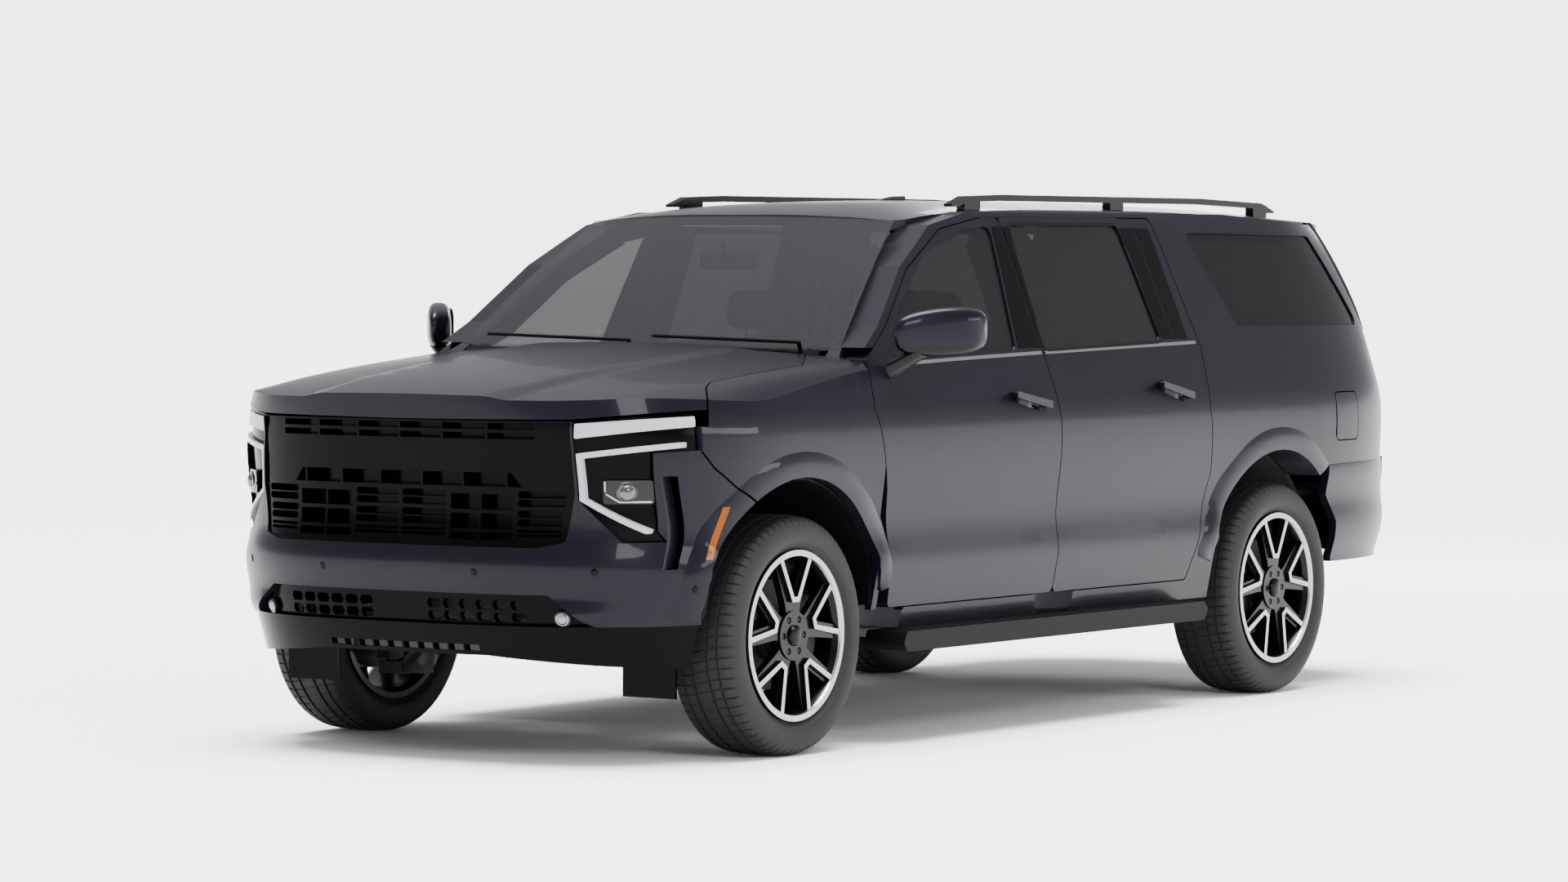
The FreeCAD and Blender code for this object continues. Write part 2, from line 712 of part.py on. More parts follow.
def grille_slots():
    """Openings between the bars on the left half and on the centre line's left side."""
    slots = []
    for k in range(3):
        y0, y1 = UPPER_CELL * k + POST / 2, UPPER_CELL * (k + 1) - POST / 2
        slots.append(box(2300, 2950, y0, y1, 1108, 1129))
        slots.append(box(2300, 2950, y0, y1, 1140, 1161))
    for y0, y1 in ((0, 86), (94, 256), (264, 426)):
        slots.append(box(2300, 2950, y0, y1, BAND_ROW[0], BAND_ROW[1]))
    end = [(434, BAND_ROW[0]), (486, BAND_ROW[0]), (448, BAND_ROW[1]), (434, BAND_ROW[1])]
    slots.append(prism_x(end, 2300, 2950))
    for low, high in MAIN_ROWS:
        middle = (low + high) / 2
        bar = THIN_BAR / 2
        for z0, z1 in ((low, middle - bar), (middle + bar, high)):
            slots.append(hex_slot(POST / 2, 196, z0, z1))
            slots.append(hex_slot(470, 622 + (low - 771) * 0.16, z0, z1))
        for y0, y1 in ((212, 326), (334, 454)):
            slots.append(box(2300, 2950, y0, y1, low - MID_DROP, high - MID_DROP))
    return slots


def grille():
    """Grille: stepped bars and posts in one frame, a dark wall behind, and the lamp panels."""
    frame = prism_x(grille_outline(), 2300, 2950)
    shape = ring_shell(True, -46, 46, 742, 1168, 8, GRILLE_DEPTH, 21).common(frame)
    left = Part.makeCompound(grille_slots())
    shape = shape.cut(left).cut(mirrored(left))
    back = ring_shell(True, -46, 46, 742, 1168, 8 + GRILLE_DEPTH + GLASS_GAP, 6, 21).common(frame)
    shell = ring_shell(True, 30, 75, 758, 1203, LAMP_INSET, 24, 17)
    panel = shell.common(prism_x(lamp_outline(), 2250, 2950))
    panel = keep_solids(panel.cut(box(1900, 2433, 600, 1100, 700, 1300)))
    return Part.makeCompound([keep_solids(shape), keep_solids(back), panel, mirrored(panel)])


def headlamp():
    """Left lamps on their black panel: upper bar, bracket, projector box and fog lamp."""
    upper = [(668, 1112), (948, 1150), (948, 1186), (668, 1162)]
    bracket = [(672, 1062), (930, 1099), (930, 1080), (688, 1045), (695, 912), (862, 806),
               (857, 790), (679, 904)]
    lens = [(747, 892), (871, 892), (871, 972), (747, 972)]
    shell = ring_shell(True, 25, 75, 758, 1203, 3, LAMP_INSET - 3 - GLASS_GAP, 17)
    lamps = []
    for outline, radius in ((upper, 4), (bracket, 3), (lens, 8)):
        lamps.append(keep_solids(shell.common(prism_x(outline, 2440, 2950, radius))))
    fog = disc_x(FOG_LAMP[0], FOG_LAMP[1], 2300, 2950, 26)
    shell = ring_shell(True, 25, 50, 440, 560, 10, 14 - GLASS_GAP, 9)
    lamps.append(keep_solids(shell.common(fog)))
    return Part.makeCompound(lamps)


def skid_plate():
    """Dark lower nose: valance, grid insert, tray and the flaps ahead of the front wheels."""
    edge = [(1000, 326), (880, 331), (340, 374)]
    outline = edge + [(-y, z) for y, z in reversed(edge)] + [(-1000, 479), (1000, 479)]
    shell = ring_shell(True, -72, 72, 305, 478 - GLASS_GAP, 6, 30, 27)
    shape = shell.common(prism_x(outline, 2395, 2950))
    insert = ring_shell(True, -50, 50, 440, 585, 24, 22, 21)
    insert = insert.common(prism_x(lower_outline(), 2300, 2950))
    slots = [hex_slot(y, y + 58, z, z + 32) for y in spread(116, 116 + 5 * 66, 6) for z in (490, 532)]
    slots += [box(2300, 2950, y, y + 58, 388, 410) for y in spread(4, 4 + 4 * 64, 5)]
    cutter = Part.makeCompound(slots)
    insert = insert.cut(cutter).cut(mirrored(cutter))
    shape = shape.cut(cutter).cut(mirrored(cutter))
    tray = []
    for a in spread(-60, 60, 17):
        point = ring_point(math.radians(a), 440, 20, True)
        tray.append((point.x, point.y))
    tray = prism_z(tray + [(2388, tray[-1][1]), (2388, tray[0][1])], 424, 432)
    tray = tray.cut(box(2380, 2630, -RAIL_OUTER_Y - 10, RAIL_OUTER_Y + 10, 400, 450))
    flaps = [box(2390, 2400, y, y + 220, 222, 428) for y in (-840, 620)]
    return keep_solids(fuse([shape, insert, tray] + flaps))


def tail_corner(z0, z1, inset, thick):
    return ring_shell(False, -75, 75, z0, z1, inset, thick, 27)


def rear_bumper():
    shell = tail_corner(500, 900, 0, 34)
    side = [(-3000, 500), (-3000, 896), (-2520, 896), (-2500, 900 - GLASS_GAP),
            (-1900, 890 - GLASS_GAP), (-1900, 500)]
    shape = shell.common(prism_y(side, -1100, 1100))
    shape = shape.cut(arch_cut(REAR_AXLE_X + REAR_ARCH_SHIFT, -1100, 1100))
    step = box(-2838, -2700, -760, 760, 820, 893)
    return keep_solids(shape.fuse(step))


def tail_lamp():
    """Left tail lamp at the corner beside the liftgate."""
    shell = ring_shell(False, 30, 70, 1030, 1425, 2, 70, 17)
    keep = prism_x([(GATE_HALF + SHUT_GAP, 1030), (1000, 1030), (1000, 1425),
                    (GATE_HALF + SHUT_GAP, 1425)], -2900, -2300)
    shape = shell.common(keep)
    return keep_solids(shape.cut(box(-2500 - GLASS_GAP, -2000, 600, 1100, 1000, 1500)))


def liftgate_profile(grow=0.0):
    g = grow
    return [(-GATE_HALF - g, GATE_SILL_Z - g), (GATE_HALF + g, GATE_SILL_Z - g),
            (GATE_HALF + g, 1400), (650 + g, 1845), (610 + g, 1930), (-610 - g, 1930),
            (-650 - g, 1845), (-GATE_HALF - g, 1400)]


def liftgate():
    shell = tail_corner(GATE_SILL_Z - 10, 1862, 0, 60)
    shape = shell.common(prism_x(liftgate_profile(), -3000, -2376))
    window = [(-640, 1440), (640, 1440), (560, 1770), (-560, 1770)]
    shape = shape.cut(prism_x(window, -3000, -2376, 40))
    rows = []
    for x in spread(-2760, -2376, 5):
        rows.append([V(x, y, roof_z(x, y)) for y in spread(-640, 640, 9)])
    plan = [(-2376, 640), (-2450, 600), (-2700, 520), (-2756, 430)]
    plan = prism_z(plan + [(x, -y) for x, y in reversed(plan)], 1700, 2100, 40)
    spoiler = face_through(rows).extrude(V(0, 0, -46)).common(plan)
    shape = keep_solids(shape.fuse(spoiler))
    hx, hz = GATE_HINGE
    pins = []
    for y in (-GATE_EAR_Y, GATE_EAR_Y):
        shape = shape.cut(box(hx - 22, hx + 10, y - 18, y + 18, 1800, 2000))
        pins.append(disc_y(hx, hz, y - 24, y + 24, HINGE_PIN_RADIUS))
    return fuse([shape] + pins)


def liftgate_glass():
    shell = tail_corner(1430, 1780, 10, 5)
    inset = [(-640, 1440), (640, 1440), (560, 1770), (-560, 1770)]
    cutter = Part.Face(flat_loop(inset, 40)).makeOffset2D(-GLASS_GAP).extrude(V(0, 0, 624))
    cutter.rotate(V(0, 0, 0), V(1, 1, 1), 120)
    cutter.translate(V(-3000, 0, 0))
    return keep_solids(shell.common(cutter))


def tyre(x, y):
    """Tyre with rounded shoulders and four grooves."""
    h = TYRE_HALF_WIDTH
    r = TYRE_RADIUS
    seat = RIM_SEAT_RADIUS
    left = [(-112, seat), (-112, 298), (-h, 350), (-118, 406), (-85, r)]
    points = left + [(-a, b) for a, b in reversed(left)]
    wire = Part.makePolygon([V(0, a, b) for a, b in points + [points[0]]])
    ring = Part.Face(wire).revolve(V(0, 0, 0), V(0, 1, 0), 360)
    ring.translate(V(x, y, r))
    return ring


def rim(x, y):
    """Rim: barrel with its lips, five forked spokes with raised edges, and the hub."""
    seat = RIM_SEAT_RADIUS - GLASS_GAP
    flange = RIM_FLANGE_RADIUS
    points = [(-128, flange), (-113, flange), (-113, seat), (113, seat), (113, flange),
              (128, flange), (128, 276), (100, 262), (-100, 262), (-128, 276)]
    wire = Part.makePolygon([V(0, a, b) for a, b in points + [points[0]]])
    parts = [Part.Face(wire).revolve(V(0, 0, 0), V(0, 1, 0), 360)]
    half = [(34, 56), (46, 106), (110, 256), (66, 272)]
    fork = half + [(0, 142)] + [(-a, b) for a, b in reversed(half)]
    half = [(20, 116), (98, 262), (80, 268), (11, 134)]
    ridge = half + [(-a, b) for a, b in reversed(half)]
    for k in range(SPOKES):
        for outline, low, high in ((fork, 82, 110), (ridge, 108, SPOKE_FACE)):
            shape = plate(outline, high - low)
            shape.rotate(V(0, 0, 0), V(0, 0, 1), 360 / SPOKES * k)
            shape.rotate(V(0, 0, 0), V(1, 0, 0), 90)
            shape.translate(V(0, high, 0))
            parts.append(shape)
    parts.append(Part.makeCylinder(86, 46, V(0, 70, 0), V(0, 1, 0)))
    whole = fuse(parts)
    bore = Part.makeCylinder(36 + RUN_GAP, WHEEL_HUB_LENGTH + 1, V(0, 60, 0), V(0, 1, 0))
    holes = [bore]
    for k in range(6):
        a = math.radians(60 * k)
        holes.append(Part.makeCylinder(12, 30, V(62 * math.cos(a), 104, 62 * math.sin(a)),
                                       V(0, 1, 0)))
    whole = whole.cut(Part.makeCompound(holes))
    if y < 0:
        whole = mirrored(whole)
    whole.translate(V(x, y, TYRE_RADIUS))
    return whole


def knuckle():
    """Left steering knuckle with hub, disc and caliper."""
    x, z = FRONT_AXLE_X, TYRE_RADIUS
    hub = disc_y(x, z, KINGPIN_Y - 20, WHEEL_Y + 94, 36)
    face = disc_y(x, z, WHEEL_Y + 40, WHEEL_Y + 64, 80)
    disc = ring_y(x, z, WHEEL_Y - 20, WHEEL_Y + 12, 190, 34)
    hat = ring_y(x, z, WHEEL_Y - 20, WHEEL_Y + 40, 95, 34)
    upright = box(x - 45, x + 45, KINGPIN_Y - 25, KINGPIN_Y + 30, z - 150, z + 190)
    caliper = ring_y(x, z, WHEEL_Y - 60, WHEEL_Y + 50, 232, 120)
    caliper = caliper.common(box(x - 260, x - 90, 700, 1000, z - 130, z + 130))
    arm = box(x - 150, x, KINGPIN_Y - 25, KINGPIN_Y + 10, z - 90, z - 50)
    bridge = box(x - 150, x, KINGPIN_Y, KINGPIN_Y + 55, z - 50, z + 50)
    kingpin = rod((x, KINGPIN_Y, z - 160 + GLASS_GAP), (x, KINGPIN_Y, z + 198 - GLASS_GAP), 16)
    return fuse([hub, face, disc, hat, upright, kingpin, caliper, arm, bridge])


def front_suspension():
    """Control arms, coil struts and cross tube, both sides."""
    x, z = FRONT_AXLE_X, TYRE_RADIUS
    seat_y = RAIL_OUTER_Y + GLASS_GAP
    parts = []
    for dx in (-150, 150):
        parts.append(rod((x + dx, seat_y + 18, z - 40), (x, 720, z - 183), 18))
        parts.append(box(x + dx - 30, x + dx + 30, seat_y, seat_y + 36, z - 66, z - 14))
        parts.append(rod((x + dx * 0.8, 520, z + 190), (x, 710, z + 215), 14))
        parts.append(box(x + dx * 0.8 - 22, x + dx * 0.8 + 22, 505, 535, z + 165, z + 215))
    parts.append(box(x - 40, x + 40, 690, KINGPIN_Y + 25, z - 205, z - 160))
    parts.append(box(x - 35, x + 35, 690, KINGPIN_Y + 20, z + 198, z + 232))
    parts.append(rod((x, 620, z - 165), (x, 560, TOWER_Z - 5), 42))
    parts.append(box(x - 30, x + 30, 600, 700, z - 200, z - 150))
    parts.append(box(x - 150, x + 150, 505, 520, z + 165, TOWER_Z - GLASS_GAP))
    parts.append(box(x - 45, x + 45, 520, 560, TOWER_Z - 40, TOWER_Z - GLASS_GAP))
    arm = fuse(parts)
    rack = rod((x - 230, -380, z + 20), (x - 230, 380, z + 20), 26)
    ears = [box(x - 250, x - 210, 340, RAIL_INNER_Y - GLASS_GAP, z - 20, z + 50)]
    ears.append(mirrored(ears[0]))
    rack = rack.common(box(0, 4000, -360, 360, 0, 900))
    return Part.makeCompound([arm, mirrored(arm), fuse([rack] + ears)])


def rear_suspension():
    """Rear links, half shafts and hubs that carry the rear wheels."""
    x, z = REAR_AXLE_X, TYRE_RADIUS
    hub = disc_y(x, z, 700, WHEEL_Y + 94, 36)
    face = disc_y(x, z, WHEEL_Y + 40, WHEEL_Y + 64, 80)
    disc = ring_y(x, z, WHEEL_Y - 20, WHEEL_Y + 12, 185, 34)
    hat = ring_y(x, z, WHEEL_Y - 20, WHEEL_Y + 40, 95, 34)
    upright = box(x - 55, x + 55, 710, 770, z - 150, z + 150)
    shaft = disc_y(x, z, 150, 720, 26)
    lower = box(x - 70, x + 70, 300, 730, z - 150, z - 115)
    upper = rod((x + 100, 300, z + 20), (x + 35, 740, z + 55), 18)
    trailing = rod((x + 560, 476, z), (x + 30, 715, z - 60), 24)
    bush = box(x + 530, x + 590, RAIL_OUTER_Y + GLASS_GAP, 500, z - 35, z + 35)
    caliper = ring_y(x, z, WHEEL_Y - 60, WHEEL_Y + 50, 226, 120)
    caliper = caliper.common(box(x + 90, x + 260, 700, 1000, z - 110, z + 110))
    bridge = box(x, x + 160, 730, 790, z - 50, z + 50)
    spring = Part.makeCylinder(58, 538.7 - (z - 116), V(x - 5, 590, z - 116))
    plate_in = box(x - 150, x + 150, 290, 315, z - 155, 489.7)
    side = fuse([hub, face, disc, hat, upright, shaft, lower, upper, trailing, bush, caliper,
                 bridge, spring, plate_in])
    housing = fuse([disc_y(x, z, -160, 160, 120), box(x, x + 200, -60, 60, z - 60, z + 60)])
    beams = [box(x + dx - 20, x + dx + 20, -450, 450, z + 30, 489.7) for dx in (-130, 130)]
    return fuse([side, mirrored(side), housing] + beams)


def chassis_frame():
    """Ladder frame: two rails with a rise over the rear axle and cross members."""
    path = [(2620, 360), (2620, 480), (1250, 470), (1000, 440), (-850, 440), (-1150, 620),
            (-1850, 620), (-2100, 560), (-2760, 560), (-2760, 440), (-2130, 440), (-1880, 490),
            (-1150, 490), (-820, 320), (1000, 320), (1300, 350)]
    rail = prism_y(path, RAIL_INNER_Y, RAIL_OUTER_Y)
    cross = []
    for x, z0, z1 in ((2560, 370, 470), (900, 330, 394), (620, 330, 390), (-760, 330, 390),
                      (-2700, 450, 550)):
        cross.append(box(x - 40, x + 40, -380, 380, z0, z1))
    receiver = box(-2866, -2660, -38, 38, 418, 494)
    receiver = receiver.cut(box(-2867, -2706, -25.5, 25.5, 430.5, 481.5))
    mounts = []
    for x, z0, top in ((1150, 340, 559.7), (200, 340, 559.7), (-650, 340, 559.7),
                       (-2250, 460, 759.7)):
        arm = box(x - 50, x + 50, 440, 620, z0, z0 + 80)
        pad = Part.makeCylinder(40, top - z0 - 40, V(x, 570, z0 + 40))
        mounts += [arm, pad, mirrored(arm), mirrored(pad)]
    x = FRONT_AXLE_X
    tower = fuse([box(x - 130, x + 130, 430, 504.7, TOWER_Z - 24, TOWER_Z),
                  box(x - 130, x + 130, 430, 600, TOWER_Z, TOWER_Z + 16),
                  box(x - 130, x + 130, 430, 446, 440, TOWER_Z)])
    x = REAR_AXLE_X
    seat_plate = box(x - 80, x + 70, 440, 655, 539, 553)
    return fuse([rail, mirrored(rail)] + cross + [receiver] + mounts
                + [tower, mirrored(tower), seat_plate, mirrored(seat_plate)])


def floor_pan():
    """Floor with the raised load floor, bulkhead and rear wheel houses."""
    half = side_y(0, 560) - SIDE_THICK - GLASS_GAP
    low = box(-1010, 1300, -half, half, 560, 584)
    half = [(-1010, 838), (-2150, 838), (-2450, 740), (-2640, 600)]
    high = prism_z(half + [(x, -y) for x, y in reversed(half)], 760, 784)
    riser = box(-1034, -1010, -838, 838, 560, 784)
    bulkhead = box(BULKHEAD_X, 1324, -815, 815, 560, 1330 - GLASS_GAP)
    axle = REAR_AXLE_X + REAR_ARCH_SHIFT
    house = ring_y(axle, TYRE_RADIUS, 596, 856, ARCH_RADIUS + 28, ARCH_RADIUS + 8)
    house = house.common(box(axle - 600, axle + 600, 500, 900, 560, 1100))
    inner = disc_y(axle, TYRE_RADIUS, 580, 596, ARCH_RADIUS + 28)
    inner = inner.common(box(axle - 600, axle + 600, 500, 900, 620, 1100))
    well = disc_y(axle, TYRE_RADIUS, 596, 900, ARCH_RADIUS + 8)
    left = fuse([house, inner])
    whole = fuse([low, high, riser, bulkhead])
    whole = whole.cut(well).cut(mirrored(well))
    return fuse([whole, left, mirrored(left)])


def wheel_liners():
    """Front wheel liners."""
    x = FRONT_AXLE_X
    outer, inner = ARCH_RADIUS - GLASS_GAP, ARCH_RADIUS - 8
    band = ring_y(x, TYRE_RADIUS, 500, 985, outer, inner)
    half = ARCH_HALF - GLASS_GAP
    band = band.common(box(x - half, x + half, 400, 1100, 500, 1000))
    ends = [box(a, a + 8, 500, 985, 500, 660) for a in (x - half, x + half - 8)]
    band = fuse([band] + ends).cut(side_slab(1300, 2440, -200, 204))
    return both(keep_solids(band))


def powertrain():
    """Engine as one plain block, with gearbox and propeller shaft behind it."""
    engine = box(1560, 2300, -300, 300, 490, 1180)
    case = box(820, 1560, -190, 190, 394.3, 552)
    shaft = rod((820, 0, 470), (REAR_AXLE_X + 201.5, 0, 430), 38)
    return fuse([engine, case, shaft])


def exhaust():
    pipe = rod((1400, -260, 290), (-1000, -260, 290), 30)
    silencer = box(-1000, -420, -345, -190, 240, 329.7)
    hanger = box(880, 920, -270, -250, 290, 329.7)
    return fuse([pipe, silencer, hanger])


def fuel_tank():
    return box(-700, 560, 120, RAIL_INNER_Y - GLASS_GAP, 300, 540)


def spare_wheel():
    """Spare wheel hung under the load floor."""
    ring = Part.makeCylinder(355, 190, V(-2290, 0, 480))
    ring = ring.cut(Part.makeCylinder(90, 300, V(-2290, 0, 400)))
    plate_low = Part.makeCylinder(100, 12, V(-2290, 0, 560))
    hanger = Part.makeCylinder(14, 759.7 - 560, V(-2290, 0, 560))
    return fuse([ring, plate_low, hanger])


def dashboard():
    """Dashboard with the steering wheel on its column."""
    back = BULKHEAD_X - GLASS_GAP
    profile = [(back, 900), (back, 1300), (1200, 1375), (1000, 1340), (930, 1250), (960, 1100),
               (1050, 900)]
    return fuse([prism_y(profile, -780, 780, 25), steering_wheel()])


def steering_wheel():
    ring = Part.makeTorus(185, 15, V(0, 0, 0), V(0, 0, 1))
    hub = Part.makeCylinder(60, 30, V(0, 0, -15))
    spokes = [box(-185, 185, -18, 18, -8, 8), box(-18, 18, -185, 0, -8, 8)]
    column = Part.makeCylinder(25, 240, V(0, 0, -240))
    whole = fuse([ring, hub, column] + spokes)
    whole.rotate(V(0, 0, 0), V(0, 0, 1), -90)
    whole.rotate(V(0, 0, 0), V(0, 1, 0), -65)
    whole.translate(V(780, 400, 1180))
    return whole


def seat(x, y, half, floor_z):
    """One seat: cushion, back and headrest."""
    cushion = prism_y([(x - 260, floor_z + 200), (x + 270, floor_z + 230), (x + 280, floor_z + 340),
                       (x - 260, floor_z + 320)], y - half, y + half, 30)
    back = prism_y([(x - 260, floor_z + 210), (x - 160, floor_z + 300), (x - 290, floor_z + 830),
                    (x - 390, floor_z + 820)], y - half + 10, y + half - 10, 35)
    head = prism_y([(x - 340, floor_z + 850), (x - 270, floor_z + 850), (x - 290, floor_z + 1015),
                    (x - 380, floor_z + 1015)], y - 130, y + 130, 30)
    post = box(x - 345, x - 325, y - 60, y + 60, floor_z + 790, floor_z + 890)
    base = box(x - 200, x + 200, y - half + 40, y + half - 40, floor_z + GLASS_GAP, floor_z + 240)
    return fuse([cushion, back, head, post, base])


def seats():
    """Two rows of single seats and a bench in the third row."""
    rows = []
    for x in (420, -560):
        left = seat(x, 400, 250, 584)
        rows += [left, mirrored(left)]
    return Part.makeCompound(rows + [seat(-1640, 0, 560, 784)])


def mirror_left():
    """Door mirror, swept back, on its foot."""
    plan = [(1322, 1046), (1292, 1098), (1190, 1178), (1062, 1222), (1028, 1212), (1052, 1130),
            (1120, 1046), (1200, 1010)]
    head = prism_z(plan, 1366, 1545, 16)
    front = [(1000, 1382), (1040, 1368), (1215, 1366), (1240, 1400), (1236, 1500), (1200, 1545),
             (1040, 1545), (1000, 1515)]
    head = head.common(prism_x(front, 1000, 1340, 26))
    foot = prism_x([(930, 1285), (1005, 1325), (1075, 1380), (1020, 1392), (940, 1345)], 1228, 1312, 6)
    skin = side_slab(1080, 1440, -GLASS_GAP, 400)
    return keep_solids(fuse([head, foot]).cut(skin))


def running_board():
    board = prism_y([(1310, 330), (1330, 360), (1310, 402), (-800, 402), (-830, 370), (-800, 330)],
                    905, 1075, 14)
    arms = [box(x - 25, x + 25, 620.3, 920, 340, 360) for x in (1150, 200, -650)]
    return fuse([board] + arms)


def cowl():
    """Cowl under the windshield with the two wipers parked on it."""
    tray = prism_y([(1300, 1330), (1436, 1340), (1436, 1389.7), (1335, 1389.7)], -780, 780)
    arms = []
    for y0, y1 in ((700, 60), (-40, -680)):
        arms.append(rod((1444, y0, 1420), (1434, y1, 1436), 6))
        arms.append(rod((1428, y0, 1376), (1446, y0, 1424), 8))
    hx, hz = HOOD_HINGE
    ears = []
    for y in (-322, 314):
        ear = disc_y(hx, hz, y, y + 8, 13).fuse(box(hx - 8, hx + 8, y, y + 8, 1330, hz))
        ear = ear.fuse(box(1420, hx + 8, y, y + 8, 1330, 1344))
        ears.append(ear.cut(disc_y(hx, hz, y - 1, y + 9, HINGE_PIN_RADIUS + RUN_GAP)))
    return fuse([tray] + arms + ears)


def main():
    os.makedirs("parts", exist_ok=True)
    frame = side_frame()
    export(Part.makeCompound([filler_pocket(frame), mirrored(frame)]), "side_frames")
    export(fuel_flap(), "fuel_flap")
    front_door = door(front_door_outline(), FRONT_WINDOW, FRONT_GRIP, 100, 1470)
    front_door = keep_solids(front_door.cut(split_step()))
    rear_door = door(rear_door_outline(), REAR_WINDOW, REAR_GRIP, -1020, 320)
    front_pane = side_glass(FRONT_WINDOW, 200, 1400)
    rear_pane = side_glass(REAR_WINDOW, -800, 250)
    mirror = mirror_left()
    turned = knuckle()
    for name, shape in (("door_front", front_door), ("door_rear", rear_door),
                        ("glass_front", front_pane), ("glass_rear", rear_pane),
                        ("mirror", mirror), ("knuckle", turned)):
        export(shape, name + "_left")
        export(mirrored(shape), name + "_right")
    for end, x in (("front", FRONT_AXLE_X), ("rear", REAR_AXLE_X)):
        for side, y in (("left", WHEEL_Y), ("right", -WHEEL_Y)):
            export(tyre(x, y), "tyre_" + end + "_" + side)
            export(rim(x, y), "rim_" + end + "_" + side)
    export(hood(), "hood")
    export(both(fender()), "front_fenders")
    export(roof_panel(), "roof_panel")
    export(both(roof_rail()), "roof_rails")
    export(fixed_glass(), "fixed_glass")
    export(front_bumper(), "front_bumper")
    export(grille(), "grille")
    export(both(headlamp()), "headlamps")
    export(skid_plate(), "skid_plate")
    export(rear_bumper(), "rear_bumper")
    export(both(tail_lamp()), "tail_lamps")
    export(liftgate(), "liftgate")
    export(liftgate_glass(), "liftgate_glass")
    export(front_suspension(), "front_suspension")
    export(rear_suspension(), "rear_suspension")
    export(chassis_frame(), "chassis_frame")
    export(floor_pan(), "floor_pan")
    export(wheel_liners(), "wheel_liners")
    export(powertrain(), "powertrain")
    export(exhaust(), "exhaust")
    export(fuel_tank(), "fuel_tank")
    export(spare_wheel(), "spare_wheel")
    export(dashboard(), "dashboard")
    export(seats(), "seats")
    export(both(running_board()), "running_boards")
    export(cowl(), "cowl")


main()
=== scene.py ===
# Looks of a full-size SUV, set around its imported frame: camera, materials, tyres, trim,
# seats, small parts and studio. Lengths are in metres, and angles in degrees where they are named.
import json
import math

import bmesh
import bpy
from mathutils import Matrix, Vector
from mathutils.bvhtree import BVHTree


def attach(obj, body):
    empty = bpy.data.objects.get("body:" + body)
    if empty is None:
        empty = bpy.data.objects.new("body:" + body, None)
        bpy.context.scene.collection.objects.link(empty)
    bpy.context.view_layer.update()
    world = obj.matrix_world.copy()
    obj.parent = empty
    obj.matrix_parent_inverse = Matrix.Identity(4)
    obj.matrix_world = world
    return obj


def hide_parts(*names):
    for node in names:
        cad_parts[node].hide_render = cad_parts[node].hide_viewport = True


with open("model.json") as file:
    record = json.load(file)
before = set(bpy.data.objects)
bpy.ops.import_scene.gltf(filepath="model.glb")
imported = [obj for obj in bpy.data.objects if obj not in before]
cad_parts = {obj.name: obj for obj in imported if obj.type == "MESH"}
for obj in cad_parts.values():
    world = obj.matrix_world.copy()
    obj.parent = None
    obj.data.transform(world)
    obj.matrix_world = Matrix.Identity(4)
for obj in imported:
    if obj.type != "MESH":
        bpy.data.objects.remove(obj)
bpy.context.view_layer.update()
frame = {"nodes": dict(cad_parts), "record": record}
NODES = frame["nodes"]
SIDES = (("left", 1), ("right", -1))
WORLD_UP = Vector((0, 0, 1))
FORWARDS = Vector((1, 0, 0))

# Camera, fitted to the view of the photograph
CAMERA_PLACE = (18.019, 11.793, 1.755)
CAMERA_AZIMUTH = math.radians(123.94)
CAMERA_ELEVATION = math.radians(1.967)
CAMERA_ROLL = math.radians(0.134)
CAMERA_LENS = 129.39
CAMERA_REACH = 300.0
SENSOR_WIDTH = 36.0
FRAME_WIDTH = 1920
FRAME_HEIGHT = 1080

# Wheels: axles along X, and the middle plane and height of their centres
AXLES = (("front", 1.899), ("rear", -1.507))
WHEEL_Y = 0.8725
WHEEL_Z = 0.417
# The machined faces of the spokes lie further out than this from the wheel's middle plane
MACHINED_FACE = 0.1205
TREAD_PITCHES = 70
NUT_COUNT = 6
NUT_CIRCLE = 0.062
VALVE_CIRCLE = 0.245
VALVE_TURN = 0.3

# Rays that look for a surface start this far out, well past the vehicle
SIDE_START = 1.6
FRONT_START = 3.2
REAR_START = -4.0

# Mirror housing: its middle, half its width and height, and how far its outer end lies back
MIRROR_X = 1.148
MIRROR_Y = 1.119
MIRROR_Z = 1.4565
MIRROR_HALF = 0.103
MIRROR_TALL = 0.086
MIRROR_SWEEP = 0.105

# Colours that more than one finish uses
PAINT = (0.0042, 0.0038, 0.0072)
BLACK = (0.001, 0.001, 0.0011)
WHEEL_BLACK = (0.0015, 0.0015, 0.0016)
PRIVACY_GLASS = (0.004, 0.004, 0.0045)
LIGHT_BAR = (0.30, 0.31, 0.33)

